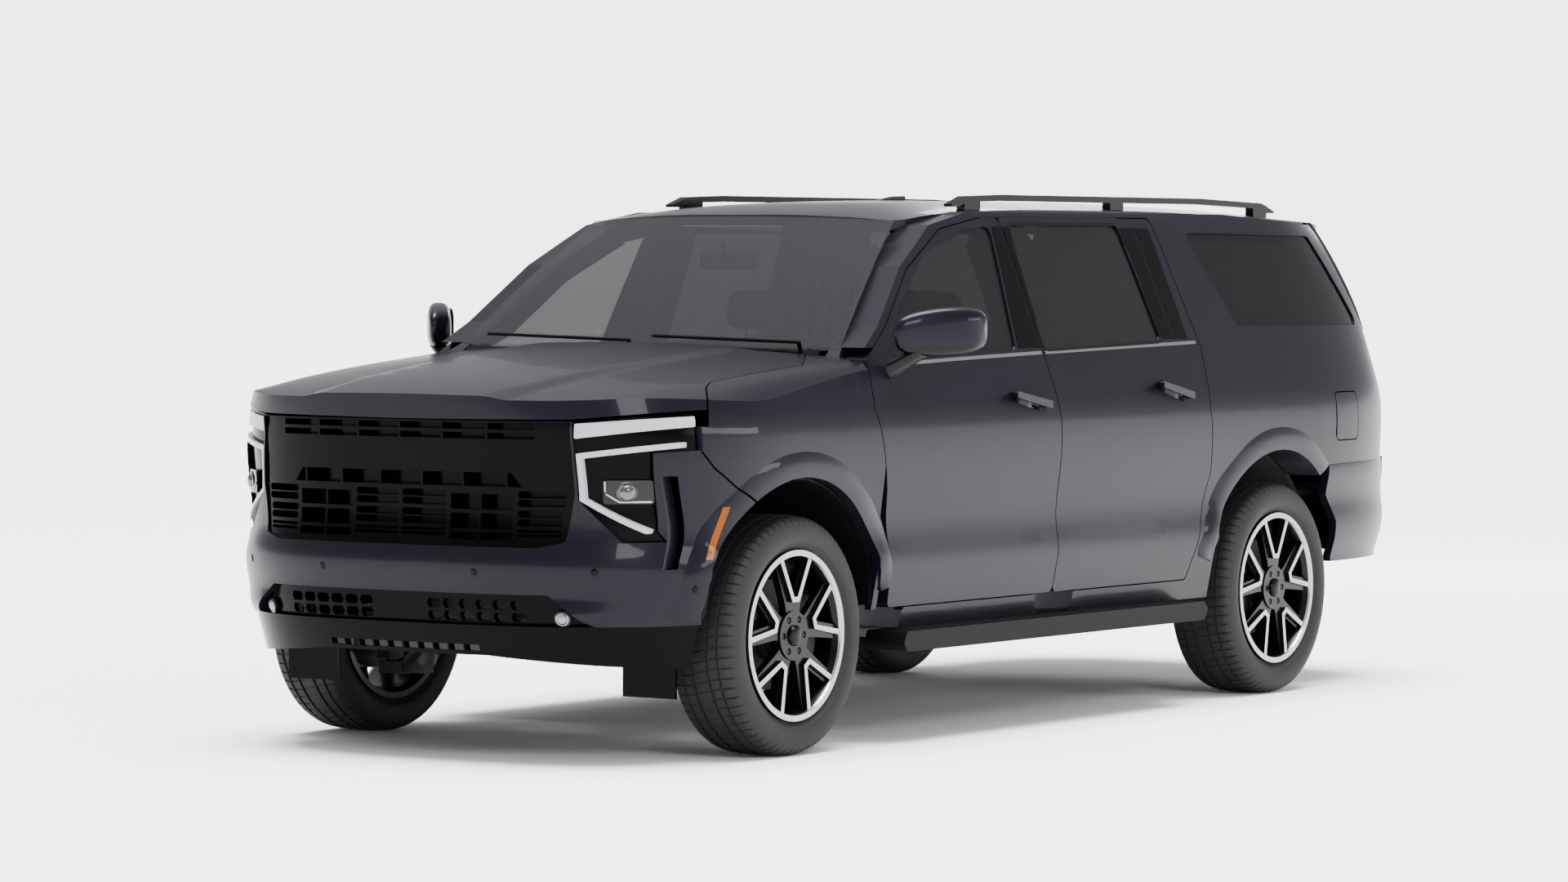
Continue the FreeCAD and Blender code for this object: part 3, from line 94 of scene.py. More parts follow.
# Finish of each slot of the record: name, colour, shader sockets, and the grain's scale, lowest
# and highest roughness and bump
FINISHES = {
    "paint": ("car_paint", PAINT,
              {"Metallic": 0.3, "Coat Weight": 0.12, "Coat Roughness": 0.04,
               "Specular IOR Level": 0.08}, (900.0, 0.30, 0.38)),
    "gloss_black": ("gloss_black", BLACK, {"Coat Weight": 0.06, "Specular IOR Level": 0.05},
                    (300.0, 0.12, 0.18)),
    "dark_trim": ("dark_satin", (0.0016, 0.0016, 0.0018), {"Specular IOR Level": 0.08},
                  (260.0, 0.45, 0.6, 0.15)),
    "clear_glass": ("clear_glass", (0.006, 0.006, 0.0065),
                    {"Alpha": 0.62, "Specular IOR Level": 0.25}, (20.0, 0.01, 0.02)),
    "tinted_glass": ("tinted_glass", PRIVACY_GLASS,
                     {"Alpha": 0.86, "Specular IOR Level": 0.25}, (20.0, 0.02, 0.03)),
    "lamp_clear": ("lamp_clear", LIGHT_BAR, {"Coat Weight": 1.0}, (40.0, 0.05, 0.12)),
    "lamp_red": ("lamp_red", (0.09, 0.002, 0.003), {"Coat Weight": 1.0}, (40.0, 0.06, 0.12)),
    "underbody": ("underbody", (0.004, 0.004, 0.0044), {}, (90.0, 0.5, 0.7, 0.1)),
    "cast_parts": ("cast_iron", (0.03, 0.029, 0.028), {"Metallic": 0.7}, (160.0, 0.45, 0.65, 0.2)),
    "steel": ("steel", (0.28, 0.28, 0.28), {"Metallic": 1.0}, (200.0, 0.25, 0.4)),
    "cabin_trim": ("cabin_trim", (0.006, 0.006, 0.0065), {}, (350.0, 0.55, 0.7, 0.2)),
    "seat_leather": ("seat_leather", (0.010, 0.0095, 0.009), {}, (220.0, 0.42, 0.58, 0.3)),
    "wheel_alloy": ("wheel_black", (0.0035, 0.0035, 0.0038),
                    {"Coat Weight": 0.15, "Specular IOR Level": 0.1}, (200.0, 0.16, 0.24)),
    "tyre": ("tyre_rubber", (0.0042, 0.0042, 0.0044), {"Specular IOR Level": 0.3},
             (180.0, 0.62, 0.8, 0.2)),
}

# Finishes of small lamps and the mirror glass, in the same form
LENS_FINISHES = {
    "amber": ("amber_lens", (0.15, 0.036, 0.0), {"Coat Weight": 0.1, "Specular IOR Level": 0.1},
              (60.0, 0.08, 0.16)),
    "lens": ("projector_glass", (0.02, 0.022, 0.026), {"Coat Weight": 1.0}, (60.0, 0.02, 0.06)),
    "pearl": ("lamp_glass", (0.16, 0.165, 0.175), {"Coat Weight": 0.6}, (80.0, 0.04, 0.1)),
    "reflector": ("mirror_glass", (0.35, 0.37, 0.39), {"Metallic": 1.0}, (40.0, 0.02, 0.05)),
}

# Studio: brightness of the surroundings from straight down (0) to straight up (1)
WORLD_STRENGTH = 4.2
WORLD_STEPS = ((0.527, 1.0), (0.56, 0.22), (0.72, 0.12), (0.88, 0.3))
WORLD_DOWN = (1.0, 1.0, 1.0, 1.0)
WORLD_TOP = (0.55, 0.56, 0.58, 1.0)
FLOOR_SIZE = 160.0
SUN_POWER = 13.0
SUN_ANGLE = math.radians(44)
# Soft lights: place, target, width and height, and power
SOFT_LIGHTS = (
    ("key", (9.0, 12.0, 7.0), (0.5, 0.0, 0.9), (5.0, 3.0), 900.0),
    ("side_strip", (-3.0, 11.0, 3.2), (-0.5, 0.0, 1.0), (9.0, 0.9), 420.0),
    ("rear_strip", (-11.0, -3.0, 4.5), (-2.0, 0.0, 1.0), (6.0, 1.5), 420.0),
)

# Outline of the rear door's window, as (x, z)
REAR_WINDOW = [(0.170, 1.382), (0.143, 1.838), (-0.640, 1.840), (-0.700, 1.402)]

# Strips on the doors: name, door, one edge and the other as lines of (x, z), and slot
DOOR_STRIPS = (
    ("pillar_front", "front", [(0.352, 1.386), (0.272, 1.834)], [(0.196, 1.386), (0.216, 1.834)],
     "gloss_black"),
    ("pillar_rear", "rear", [(0.1795, 1.392), (0.2005, 1.834)], [(0.173, 1.392), (0.158, 1.834)],
     "gloss_black"),
    ("pillar_back", "rear", [(-0.716, 1.408), (-0.655, 1.832)],
     [(-0.800, 1.406), (-0.757, 1.832)], "gloss_black"),
    ("pillar_last", "rear", [(-0.812, 1.406), (-0.769, 1.832)],
     [(-0.905, 1.404), (-0.872, 1.830)], "gloss_black"),
    ("belt_front", "front", [(1.215, 1.3475), (0.80, 1.360), (0.20, 1.3745)],
     [(1.215, 1.3355), (0.80, 1.348), (0.20, 1.3625)], "steel"),
    ("belt_rear", "rear", [(0.172, 1.3745), (-0.60, 1.391), (-0.958, 1.398)],
     [(0.172, 1.3625), (-0.60, 1.379), (-0.958, 1.386)], "steel"),
)

# Half section of a tyre from the rim to the middle: offset, radius and depth of the grooves
TYRE_HALF = [
    (0.111, 0.2855, 0), (0.112, 0.297, 0), (0.119, 0.302, 0), (0.130, 0.320, 0),
    (0.1325, 0.3215, 0), (0.1345, 0.3235, 0), (0.1385, 0.340, 0), (0.1395, 0.352, 0),
    (0.138, 0.368, 0), (0.1345, 0.381, 0), (0.130, 0.3905, 0.0015), (0.125, 0.399, 0.004),
    (0.119, 0.4055, 0.005), (0.109, 0.4105, 0.005), (0.097, 0.4135, 0.005),
    (0.082, 0.4152, 0.004), (0.080, 0.408, 0), (0.073, 0.408, 0), (0.071, 0.4158, 0.004),
    (0.056, 0.4164, 0.004), (0.039, 0.4167, 0.003), (0.037, 0.409, 0), (0.029, 0.409, 0),
    (0.027, 0.4168, 0.003), (0.012, 0.417, 0.003),
]
# Rings of one tread pitch: their place in it, and one where the groove is cut
TREAD_STEPS = ((0.0, 0), (0.06, 1), (0.17, 1), (0.23, 0), (0.6, 0))

# Seats: name, place, half width and floor height of each row
SEAT_ROWS = (("first", 0.42, 0.40, 0.250, 0.584), ("second", -0.56, 0.40, 0.250, 0.584))
THIRD_BENCH = ("third_bench", -1.64, 0.0, 0.560, 0.784)
SINGLE_SEAMS = [("y", -0.62), ("y", 0.62), ("x", -0.25), ("x", 0.3)]
BENCH_SEAMS = [("y", -0.34), ("y", 0.34), ("y", 0.0)]
HEADREST_SEAMS = [("y", -0.7), ("y", 0.7)]
SEAM_DEPTH = 0.007
SEAM_WIDTH = 0.035

# Parking sensors, by their pixels in the photograph
SENSOR_PIXELS = ((394.5, 692.7), (580, 701), (728, 701), (852, 722))

# Door handles: body, front end and rear end as (x, z). A flat black patch of painted shade,
# standing in for the recess behind each one, is drawn from offsets to those two ends, twice to
# each.
HANDLES = (("door_front_", (0.500, 1.214), (0.292, 1.182)),
           ("door_rear_", (-0.569, 1.232), (-0.765, 1.195)))
SHADE_PATCH_TOP = ((0.012, 0.006), (-0.03, 0.022), (0.03, 0.024), (-0.012, 0.006))
SHADE_PATCH_FOOT = ((0.012, -0.002), (-0.03, -0.026), (0.03, -0.028), (-0.012, -0.004))
# A ray to the door's skin starts here, inside the handle's bar
INSIDE_HANDLE = 1.034


def camera_axes():
    """Right, up and back directions of the camera."""
    a, e = CAMERA_AZIMUTH, CAMERA_ELEVATION
    back = Vector((math.sin(a) * math.cos(e), -math.cos(a) * math.cos(e), math.sin(e)))
    right = (-back).cross(WORLD_UP).normalized()
    up = right.cross(-back)
    r = CAMERA_ROLL
    turned_right = right * math.cos(r) + up * math.sin(r)
    turned_up = up * math.cos(r) - right * math.sin(r)
    return turned_right, turned_up, back


def make_camera():
    data = bpy.data.cameras.new("camera")
    data.lens = CAMERA_LENS
    data.sensor_width = SENSOR_WIDTH
    data.clip_end = CAMERA_REACH
    camera = bpy.data.objects.new("camera", data)
    turn = Matrix(camera_axes()).transposed()
    camera.matrix_world = Matrix.Translation(CAMERA_PLACE) @ turn.to_4x4()
    bpy.context.scene.collection.objects.link(camera)
    bpy.context.scene.camera = camera


def pixel_ray(px, py):
    """Start and direction of the ray through a pixel of the photograph."""
    right, up, back = camera_axes()
    scale = SENSOR_WIDTH / CAMERA_LENS / FRAME_WIDTH
    x = (px - FRAME_WIDTH / 2) * scale
    y = (FRAME_HEIGHT / 2 - py) * scale
    return Vector(CAMERA_PLACE), (right * x + up * y - back).normalized()


def shader(name, color, sockets):
    """Principled material with one colour; the other sockets are given by name."""
    material = bpy.data.materials.new(name)
    material.use_nodes = True
    node = material.node_tree.nodes["Principled BSDF"]
    node.inputs["Base Color"].default_value = (*color, 1.0)
    for socket, value in sockets.items():
        node.inputs[socket].default_value = value
    return material


def add_grain(material, scale, low, high, bump=0.0):
    """Procedural variation of roughness, and a fine bump where asked."""
    tree = material.node_tree
    node = tree.nodes["Principled BSDF"]
    place = tree.nodes.new("ShaderNodeTexCoord")
    noise = tree.nodes.new("ShaderNodeTexNoise")
    noise.inputs["Scale"].default_value = scale
    noise.inputs["Detail"].default_value = 4.0
    spread = tree.nodes.new("ShaderNodeMapRange")
    spread.inputs["To Min"].default_value = low
    spread.inputs["To Max"].default_value = high
    tree.links.new(place.outputs["Object"], noise.inputs["Vector"])
    tree.links.new(noise.outputs["Fac"], spread.inputs["Value"])
    tree.links.new(spread.outputs["Result"], node.inputs["Roughness"])
    if bump:
        relief = tree.nodes.new("ShaderNodeBump")
        relief.inputs["Strength"].default_value = bump
        relief.inputs["Distance"].default_value = 0.001
        tree.links.new(noise.outputs["Fac"], relief.inputs["Height"])
        tree.links.new(relief.outputs["Normal"], node.inputs["Normal"])
    return material


def make_finishes(finishes):
    """Materials from a table of finishes."""
    return {slot: add_grain(shader(name, color, sockets), *grain)
            for slot, (name, color, sockets, grain) in finishes.items()}


def combine(tree, operation, first, second):
    """Result of a maths node on two sockets."""
    node = tree.nodes.new("ShaderNodeMath")
    node.operation = operation
    tree.links.new(first, node.inputs[0])
    tree.links.new(second, node.inputs[1])
    return node.outputs[0]


def place_mask(tree, axis, low, high, both_sides=False):
    """One where an object coordinate, or its size, lies between two values, else zero."""
    place = tree.nodes.new("ShaderNodeTexCoord")
    parts = tree.nodes.new("ShaderNodeSeparateXYZ")
    tree.links.new(place.outputs["Object"], parts.inputs["Vector"])
    value = parts.outputs[axis]
    if both_sides:
        absolute = tree.nodes.new("ShaderNodeMath")
        absolute.operation = "ABSOLUTE"
        tree.links.new(value, absolute.inputs[0])
        value = absolute.outputs[0]
    results = []
    for operation, level in (("GREATER_THAN", low), ("LESS_THAN", high)):
        test = tree.nodes.new("ShaderNodeMath")
        test.operation = operation
        test.inputs[1].default_value = level
        tree.links.new(value, test.inputs[0])
        results.append(test.outputs[0])
    return combine(tree, "MULTIPLY", *results)


def blend_socket(material, mask, socket, outside, inside):
    """Give a socket one value outside the mask and another inside it."""
    tree = material.node_tree
    target = tree.nodes["Principled BSDF"].inputs[socket]
    mix = tree.nodes.new("ShaderNodeMix")
    colored = isinstance(outside, tuple)
    mix.data_type = "RGBA" if colored else "FLOAT"
    sockets = [s for s in mix.inputs if s.enabled]
    ends = [s for s in sockets if s.name in ("A", "B")]
    for end, value in zip(ends, (outside, inside)):
        end.default_value = (*value, 1.0) if colored else value
    tree.links.new(mask, [s for s in sockets if s.name == "Factor"][0])
    tree.links.new([s for s in mix.outputs if s.enabled][0], target)


def fixed_glass_material():
    """Dark quarter glass behind, and a clearer windshield in front."""
    glass = shader("windshield_and_quarter_glass", PRIVACY_GLASS, {"Specular IOR Level": 0.12})
    add_grain(glass, 20.0, 0.03, 0.05)
    forward = place_mask(glass.node_tree, "X", 0.6, 3.0)
    blend_socket(glass, forward, "Alpha", 0.84, 0.56)
    blend_socket(glass, forward, "Base Color", PRIVACY_GLASS, (0.018, 0.0186, 0.02))
    return glass


def rim_material():
    """Black rim with bright machined faces on its spokes."""
    rim = shader("wheel_machined", WHEEL_BLACK, {"Coat Weight": 0.1, "Specular IOR Level": 0.1})
    add_grain(rim, 220.0, 0.18, 0.28)
    face = place_mask(rim.node_tree, "Y", WHEEL_Y + MACHINED_FACE, 2.0, True)
    blend_socket(rim, face, "Base Color", WHEEL_BLACK, (0.30, 0.30, 0.31))
    blend_socket(rim, face, "Metallic", 0.0, 1.0)
    return rim


def mirror_material():
    """Painted mirror shell that is black below a line."""
    mirror = shader("mirror_two_tone", PAINT, {"Coat Weight": 0.12, "Specular IOR Level": 0.08})
    add_grain(mirror, 500.0, 0.26, 0.34)
    low = place_mask(mirror.node_tree, "Z", 1.0, 1.408)
    blend_socket(mirror, low, "Base Color", PAINT, BLACK)
    blend_socket(mirror, low, "Metallic", 0.3, 0.0)
    return mirror


def headlamp_material():
    """Pale light bars, dark round the projector box and at the fog lamps."""
    lamps = shader("lamp_light_bars", LIGHT_BAR, {"Coat Weight": 0.15, "Specular IOR Level": 0.1})
    add_grain(lamps, 60.0, 0.05, 0.14)
    tree = lamps.node_tree
    across = place_mask(tree, "Y", 0.742, 0.876, True)
    upwards = place_mask(tree, "Z", 0.886, 0.977)
    projector = combine(tree, "MULTIPLY", across, upwards)
    fog = place_mask(tree, "Z", 0.3, 0.62)
    dark = combine(tree, "MAXIMUM", projector, fog)
    blend_socket(lamps, dark, "Base Color", LIGHT_BAR, (0.006, 0.0065, 0.0075))
    return lamps


def grille_material():
    grille = shader("grille_black", BLACK, {"Specular IOR Level": 0.035})
    return add_grain(grille, 300.0, 0.14, 0.2)


def make_special_materials():
    """Materials made for one node, or for all nodes whose name starts with the word."""
    grille = grille_material()
    return {"fixed_glass": fixed_glass_material(), "rim": rim_material(),
            "mirror": mirror_material(), "headlamps": headlamp_material(),
            "grille": grille, "skid_plate": grille}


def dress_nodes(materials, special):
    """Each CAD node takes the material of its slot, or one made for that node."""
    for part in frame["record"]["subparts"]:
        name = part["node"]
        stem = name.split("_")[0]
        chosen = special.get(name) or special.get(stem) or materials[part["material_slot"]]
        node = NODES[name]
        node.data.materials.clear()
        node.data.materials.append(chosen)


def area_light(name, place, target, size, power):
    data = bpy.data.lights.new(name, "AREA")
    data.shape = "RECTANGLE"
    data.size, data.size_y = size
    data.energy = power
    light = bpy.data.objects.new(name, data)
    light.location = place
    light.rotation_euler = (Vector(target) - Vector(place)).to_track_quat("-Z", "Y").to_euler()
    bpy.context.scene.collection.objects.link(light)


def make_floor():
    bpy.ops.mesh.primitive_plane_add(size=FLOOR_SIZE, location=(0, 0, 0))
    floor = bpy.context.object
    floor.name = "floor"
    floor.data.materials.append(shader("floor_pale", (0.86, 0.86, 0.86),
                                       {"Roughness": 0.9, "Specular IOR Level": 0.1}))


def make_world():
    """Surroundings that are bright below and at the horizon, and dimmer above."""
    world = bpy.data.worlds.new("studio")
    world.use_nodes = True
    tree = world.node_tree
    background = tree.nodes["Background"]
    place = tree.nodes.new("ShaderNodeTexCoord")
    parts = tree.nodes.new("ShaderNodeSeparateXYZ")
    ramp = tree.nodes.new("ShaderNodeValToRGB")
    tree.links.new(place.outputs["Generated"], parts.inputs["Vector"])
    scale = tree.nodes.new("ShaderNodeMapRange")
    scale.inputs["From Min"].default_value = -1.0
    tree.links.new(parts.outputs["Z"], scale.inputs["Value"])
    tree.links.new(scale.outputs["Result"], ramp.inputs["Fac"])
    ramp.color_ramp.elements[0].position = 0.0
    ramp.color_ramp.elements[0].color = WORLD_DOWN
    ramp.color_ramp.elements[1].position = 1.0
    ramp.color_ramp.elements[1].color = WORLD_TOP
    for position, level in WORLD_STEPS:
        element = ramp.color_ramp.elements.new(position)
        element.color = (level, level, level * 1.02, 1.0)
    tree.links.new(ramp.outputs["Color"], background.inputs["Color"])
    background.inputs["Strength"].default_value = WORLD_STRENGTH
    bpy.context.scene.world = world


def make_studio():
    make_floor()
    make_world()
    sun = bpy.data.lights.new("overhead", "SUN")
    sun.energy = SUN_POWER
    sun.angle = SUN_ANGLE
    bpy.context.scene.collection.objects.link(bpy.data.objects.new("overhead", sun))
    for light in SOFT_LIGHTS:
        area_light(*light)


def tree_of(*names):
    """Search tree over the faces of some CAD nodes."""
    points = []
    faces = []
    for name in names:
        start = len(points)
        mesh = NODES[name].data
        points += [v.co.copy() for v in mesh.vertices]
        faces += [[start + i for i in p.vertices] for p in mesh.polygons]
    return BVHTree.FromPolygons(points, faces)


def hit_side(tree, x, z, sign, start=SIDE_START):
    """Point and normal where a ray from one side meets the tree, or None twice."""
    point, normal, _, _ = tree.ray_cast(Vector((x, sign * start, z)), Vector((0, -sign, 0)))
    return point, normal


def hit_end(tree, y, z, start):
    """Point and normal where a ray from the front or the rear meets the tree, or None twice."""
    way = -FORWARDS if start > 0 else FORWARDS
    point, normal, _, _ = tree.ray_cast(Vector((start, y, z)), way)
    return point, normal


def new_object(name, points, faces):
    mesh = bpy.data.meshes.new(name)
    mesh.from_pydata([tuple(p) for p in points], [], faces)
    mesh.update()
    work = bmesh.new()
    work.from_mesh(mesh)
    bmesh.ops.recalc_face_normals(work, faces=work.faces)
    work.to_mesh(mesh)
    work.free()
    for polygon in mesh.polygons:
        polygon.use_smooth = True
    thing = bpy.data.objects.new(name, mesh)
    bpy.context.scene.collection.objects.link(thing)
    return thing


def finish_piece(thing, body, material, sharp=35):
    """Material and body of one piece; edges over the sharp angle stay crisp."""
    thing.data.materials.append(material)
    if sharp:
        thing.data.set_sharp_from_angle(angle=math.radians(sharp))
    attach(thing, body)
    return thing


def add_piece(name, parts, body, material, sharp=35):
    """One finished object out of several lists of points and faces."""
    points = []
    faces = []
    for some_points, some_faces in parts:
        start = len(points)
        points += some_points
        faces += [[start + i for i in face] for face in some_faces]
    return finish_piece(new_object(name, points, faces), body, material, sharp)


def circle_angles(count):
    return [2 * math.pi * k / count for k in range(count)]


def lathe_part(profile, place, axis, segments=32):
    """Turned form: profile of (radius, height) pairs along an axis from a place."""
    axis = Vector(axis).normalized()
    side = axis.orthogonal().normalized()
    other = axis.cross(side)
    points = []
    for a in circle_angles(segments):
        ray = side * math.cos(a) + other * math.sin(a)
        points += [Vector(place) + ray * r + axis * h for r, h in profile]
    count = len(profile)
    faces = []
    for k in range(segments):
        n = (k + 1) % segments
        for i in range(count - 1):
            faces.append([k * count + i, n * count + i, n * count + i + 1, k * count + i + 1])
    for end in (0, count - 1):
        if profile[end][0] > 0:
            faces.append([k * count + end for k in range(segments)])
    return points, faces


def box_part(low, high, bevel=0.15, turn=None):
    """Box with cut edges between two corners, turned about its middle where asked."""
    low, high = Vector(low), Vector(high)
    middle = (low + high) / 2
    half = (high - low) / 2
    cut = min(half) * bevel * 2
    signs = (-1, 1)
    points = []
    corners = {}
    for key in [(sx, sy, sz) for sx in signs for sy in signs for sz in signs]:
        corner = Vector([s * h for s, h in zip(key, half)])
        for axis in range(3):
            p = corner.copy()
            for k in range(3):
                if k != axis:
                    p[k] -= cut * (1 if corner[k] > 0 else -1)
            corners[(*key, axis)] = len(points)
            points.append(middle + p)

    def corner_at(places, axis):
        return corners[(places[0], places[1], places[2], axis)]

    faces = []
    for axis in range(3):
        u, v = [k for k in range(3) if k != axis]
        for sign in signs:
            loop = []
            for a, c in ((-1, -1), (1, -1), (1, 1), (-1, 1)):
                loop.append(corner_at({axis: sign, u: a, v: c}, axis))
            faces.append(loop)
    for axis in range(3):
        u, v = [k for k in range(3) if k != axis]
        for a in signs:
            for c in signs:
                first, last = [{axis: sign, u: a, v: c} for sign in signs]
                faces.append([corner_at(first, u), corner_at(last, u),
                              corner_at(last, v), corner_at(first, v)])
    for key in [(sx, sy, sz) for sx in signs for sy in signs for sz in signs]:
        faces.append([corners[(*key, k)] for k in range(3)])
    if turn is not None:
        points = [middle + turn @ (p - middle) for p in points]
    return points, faces


def tube_part(path, radius, segments=10):
    """Round bar along a few points."""
    path = [Vector(p) for p in path]
    points = []
    for i, p in enumerate(path):
        way = (path[min(i + 1, len(path) - 1)] - path[max(i - 1, 0)]).normalized()
        side = way.orthogonal().normalized()
        if abs(way.z) < 0.9:
            side = way.cross(WORLD_UP).normalized()
        other = way.cross(side)
        for a in circle_angles(segments):
            points.append(p + (side * math.cos(a) + other * math.sin(a)) * radius)
    faces = []
    for i in range(len(path) - 1):
        for k in range(segments):
            n = (k + 1) % segments
            faces.append([i * segments + k, i * segments + n, (i + 1) * segments + n,
                          (i + 1) * segments + k])
    last = (len(path) - 1) * segments
    faces.append(list(range(segments)))
    faces.append([last + k for k in range(segments)])
    return points, faces


def ribbon_part(rows, thick):
    """Closed sheet from rows of (point, normal): the skin and its back, thick deep."""
    count = len(rows[0])
    points = [p for row in rows for p, _ in row]
    total = len(points)
    points += [p - n * thick for row in rows for p, n in row]
    faces = []
    last = len(rows) - 1
    for i in range(last):
        for k in range(count - 1):
            a, b = i * count + k, i * count + k + 1
            c, d = (i + 1) * count + k + 1, (i + 1) * count + k
            faces.append([a, b, c, d])
            faces.append([total + d, total + c, total + b, total + a])
    for k in range(count - 1):
        for i in (0, last):
            a, b = i * count + k, i * count + k + 1
            faces.append([a, b, total + b, total + a])
    for i in range(last):
        for k in (0, count - 1):
            a, b = i * count + k, (i + 1) * count + k
            faces.append([a, b, total + b, total + a])
    return points, faces


def even_line(line, count):
    """Points spaced evenly along a polyline."""
    steps = [0.0]
    for a, b in zip(line, line[1:]):
        steps.append(steps[-1] + math.dist(a, b))
    result = []
    for k in range(count):
        t = steps[-1] * k / (count - 1)
        i = max(j for j in range(len(line) - 1) if steps[j] <= t + 1e-9)
        f = (t - steps[i]) / (steps[i + 1] - steps[i])
        result.append([p + (q - p) * f for p, q in zip(line[i], line[i + 1])])
    return result


def side_strip(tree, edge_a, edge_b, sign, lift=0.0012, thick=0.002):
    """Strip on the body side between two lines of (x, z), or None if it runs off the side."""
    along, across = 24, 3
    rows = []
    for a, b in zip(even_line(edge_a, along), even_line(edge_b, along)):
        row = []
        for k in range(across):
            x, z = [p + (q - p) * k / (across - 1) for p, q in zip(a, b)]
            point, normal = hit_side(tree, x, z, sign)
            if point is None or normal.y * sign < 0.2:
                return None
            row.append((point + normal * lift, normal))
        rows.append(row)
    return ribbon_part(rows, thick)


def loop_offset(loop, distance):
    """Closed outline moved outwards by a distance."""
    area = sum(a[0] * b[1] - b[0] * a[1] for a, b in zip(loop, loop[1:] + loop[:1]))
    turn = 1 if area > 0 else -1
    result = []
    for before, here, after in zip(loop[-1:] + loop[:-1], loop, loop[1:] + loop[:1]):
        one = Vector((here[1] - before[1], before[0] - here[0])).normalized()
        two = Vector((after[1] - here[1], here[0] - after[0])).normalized()
        way = one + two
        way = way / max(way.dot(one), 0.6)
        result.append((here[0] + turn * way.x * distance, here[1] + turn * way.y * distance))
    return result


def rounded_loop(points, radius, steps=5):
    """Outline with each corner replaced by an arc-like curve."""
    result = []
    for before, here, after in zip(points[-1:] + points[:-1], points, points[1:] + points[:1]):
        h = Vector(here)
        a = h + (Vector(before) - h).normalized() * min(radius, (Vector(before) - h).length / 3)
        b = h + (Vector(after) - h).normalized() * min(radius, (Vector(after) - h).length / 3)
        for k in range(steps):
            t = k / (steps - 1)
            result.append(tuple(a * (1 - t) ** 2 + h * 2 * t * (1 - t) + b * t * t))
    return result


def window_seal(tree, window, sign):
    """Ring round a window, laid on the door, or None if it runs off the door."""
    inner, outer, corner, lift, thick = 0.0015, 0.011, 0.028, 0.0015, 0.0025
    loop = rounded_loop(window, corner)
    rings = [loop_offset(loop, d) for d in (inner, (inner + outer) / 2, outer)]
    rows = []
    for k in range(len(loop) + 1):
        row = []
        for ring in rings:
            point, normal = hit_side(tree, *ring[k % len(loop)], sign)
            if point is None:
                return None
            row.append((point + normal * lift, normal))
        rows.append(row)
    return ribbon_part(rows, thick)


def make_window_trim(materials):
    """Black seal round the rear door's glass, gloss pillar panels and the bright belt strip."""
    for side, sign in SIDES:
        trees = {end: tree_of("door_" + end + "_" + side) for end in ("front", "rear")}
        seal = window_seal(trees["rear"], REAR_WINDOW, sign)
        if seal:
            add_piece("seal_rear_" + side, [seal], "door_rear_" + side,
                      materials["dark_trim"])
        for name, end, one, two, slot in DOOR_STRIPS:
            strip = side_strip(trees[end], one, two, sign)
            if strip:
                add_piece(name + "_" + side, [strip], "door_" + end + "_" + side,
                          materials[slot])


def tread_slant(offset, pitch):
    """How far round the tyre a groove leans at an offset from the middle plane."""
    slant = 0.45 * pitch * math.sin(min(abs(offset), 0.1) / 0.06) * (1 if offset > 0 else -1)
    if abs(offset) > 0.128:
        slant *= max(0.0, (0.14 - abs(offset)) / 0.012)
    return slant


def tyre_part(x, y):
    section = TYRE_HALF + [(-a, r, d) for a, r, d in reversed(TYRE_HALF)]
    pitch = 2 * math.pi / TREAD_PITCHES
    points = []
    for k in range(TREAD_PITCHES):
        for share, cut in TREAD_STEPS:
            for a, r, depth in section:
                angle = (k + share) * pitch + tread_slant(a, pitch)
                radius = r - depth * cut
                points.append(Vector((x + radius * math.cos(angle), y + a,
                                      WHEEL_Z + radius * math.sin(angle))))
    count = len(section)
    rings = TREAD_PITCHES * len(TREAD_STEPS)
    faces = []
    for k in range(rings):
        n = (k + 1) % rings
        for i in range(count):
            j = (i + 1) % count
            faces.append([k * count + i, n * count + i, n * count + j, k * count + j])
    return points, faces


def wheel_cap_parts(x, sign):
    """Centre cap, wheel nuts and valve of one wheel."""
    out = (0, sign, 0)
    cap = [(0.036, 0.0), (0.0365, 0.005), (0.033, 0.010), (0.025, 0.0125), (0.0, 0.0135)]
    nut = [(0.0105, 0.0), (0.0105, 0.012), (0.0085, 0.0155), (0.0, 0.0165)]
    stem = [(0.005, -0.012), (0.005, 0.012), (0.004, 0.014), (0.004, 0.022), (0.0, 0.023)]
    parts = [lathe_part(cap, (x, sign * (WHEEL_Y + 0.1155), WHEEL_Z), out, 40)]
    for k in range(NUT_COUNT):
        a = math.radians(360 / NUT_COUNT * k)
        place = (x + NUT_CIRCLE * math.cos(a), sign * (WHEEL_Y + 0.098),
                 WHEEL_Z + NUT_CIRCLE * math.sin(a))
        parts.append(lathe_part(nut, place, out, 6))
    valve = (x + VALVE_CIRCLE * math.cos(VALVE_TURN), sign * (WHEEL_Y + 0.092),
             WHEEL_Z + VALVE_CIRCLE * math.sin(VALVE_TURN))
    parts.append(lathe_part(stem, valve, out, 12))
    return parts


def make_tyres(materials):
    """Treaded tyres, and the caps, nuts and valves of the wheels."""
    for end, x in AXLES:
        for side, sign in SIDES:
            name = end + "_" + side
            tyre = add_piece("tread_" + name, [tyre_part(x, sign * WHEEL_Y)], "wheel_" + name,
                             materials["tyre"])
            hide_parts("tyre_" + name)
            add_piece("wheel_caps_" + name, wheel_cap_parts(x, sign), "wheel_" + name,
                      materials["gloss_black"])


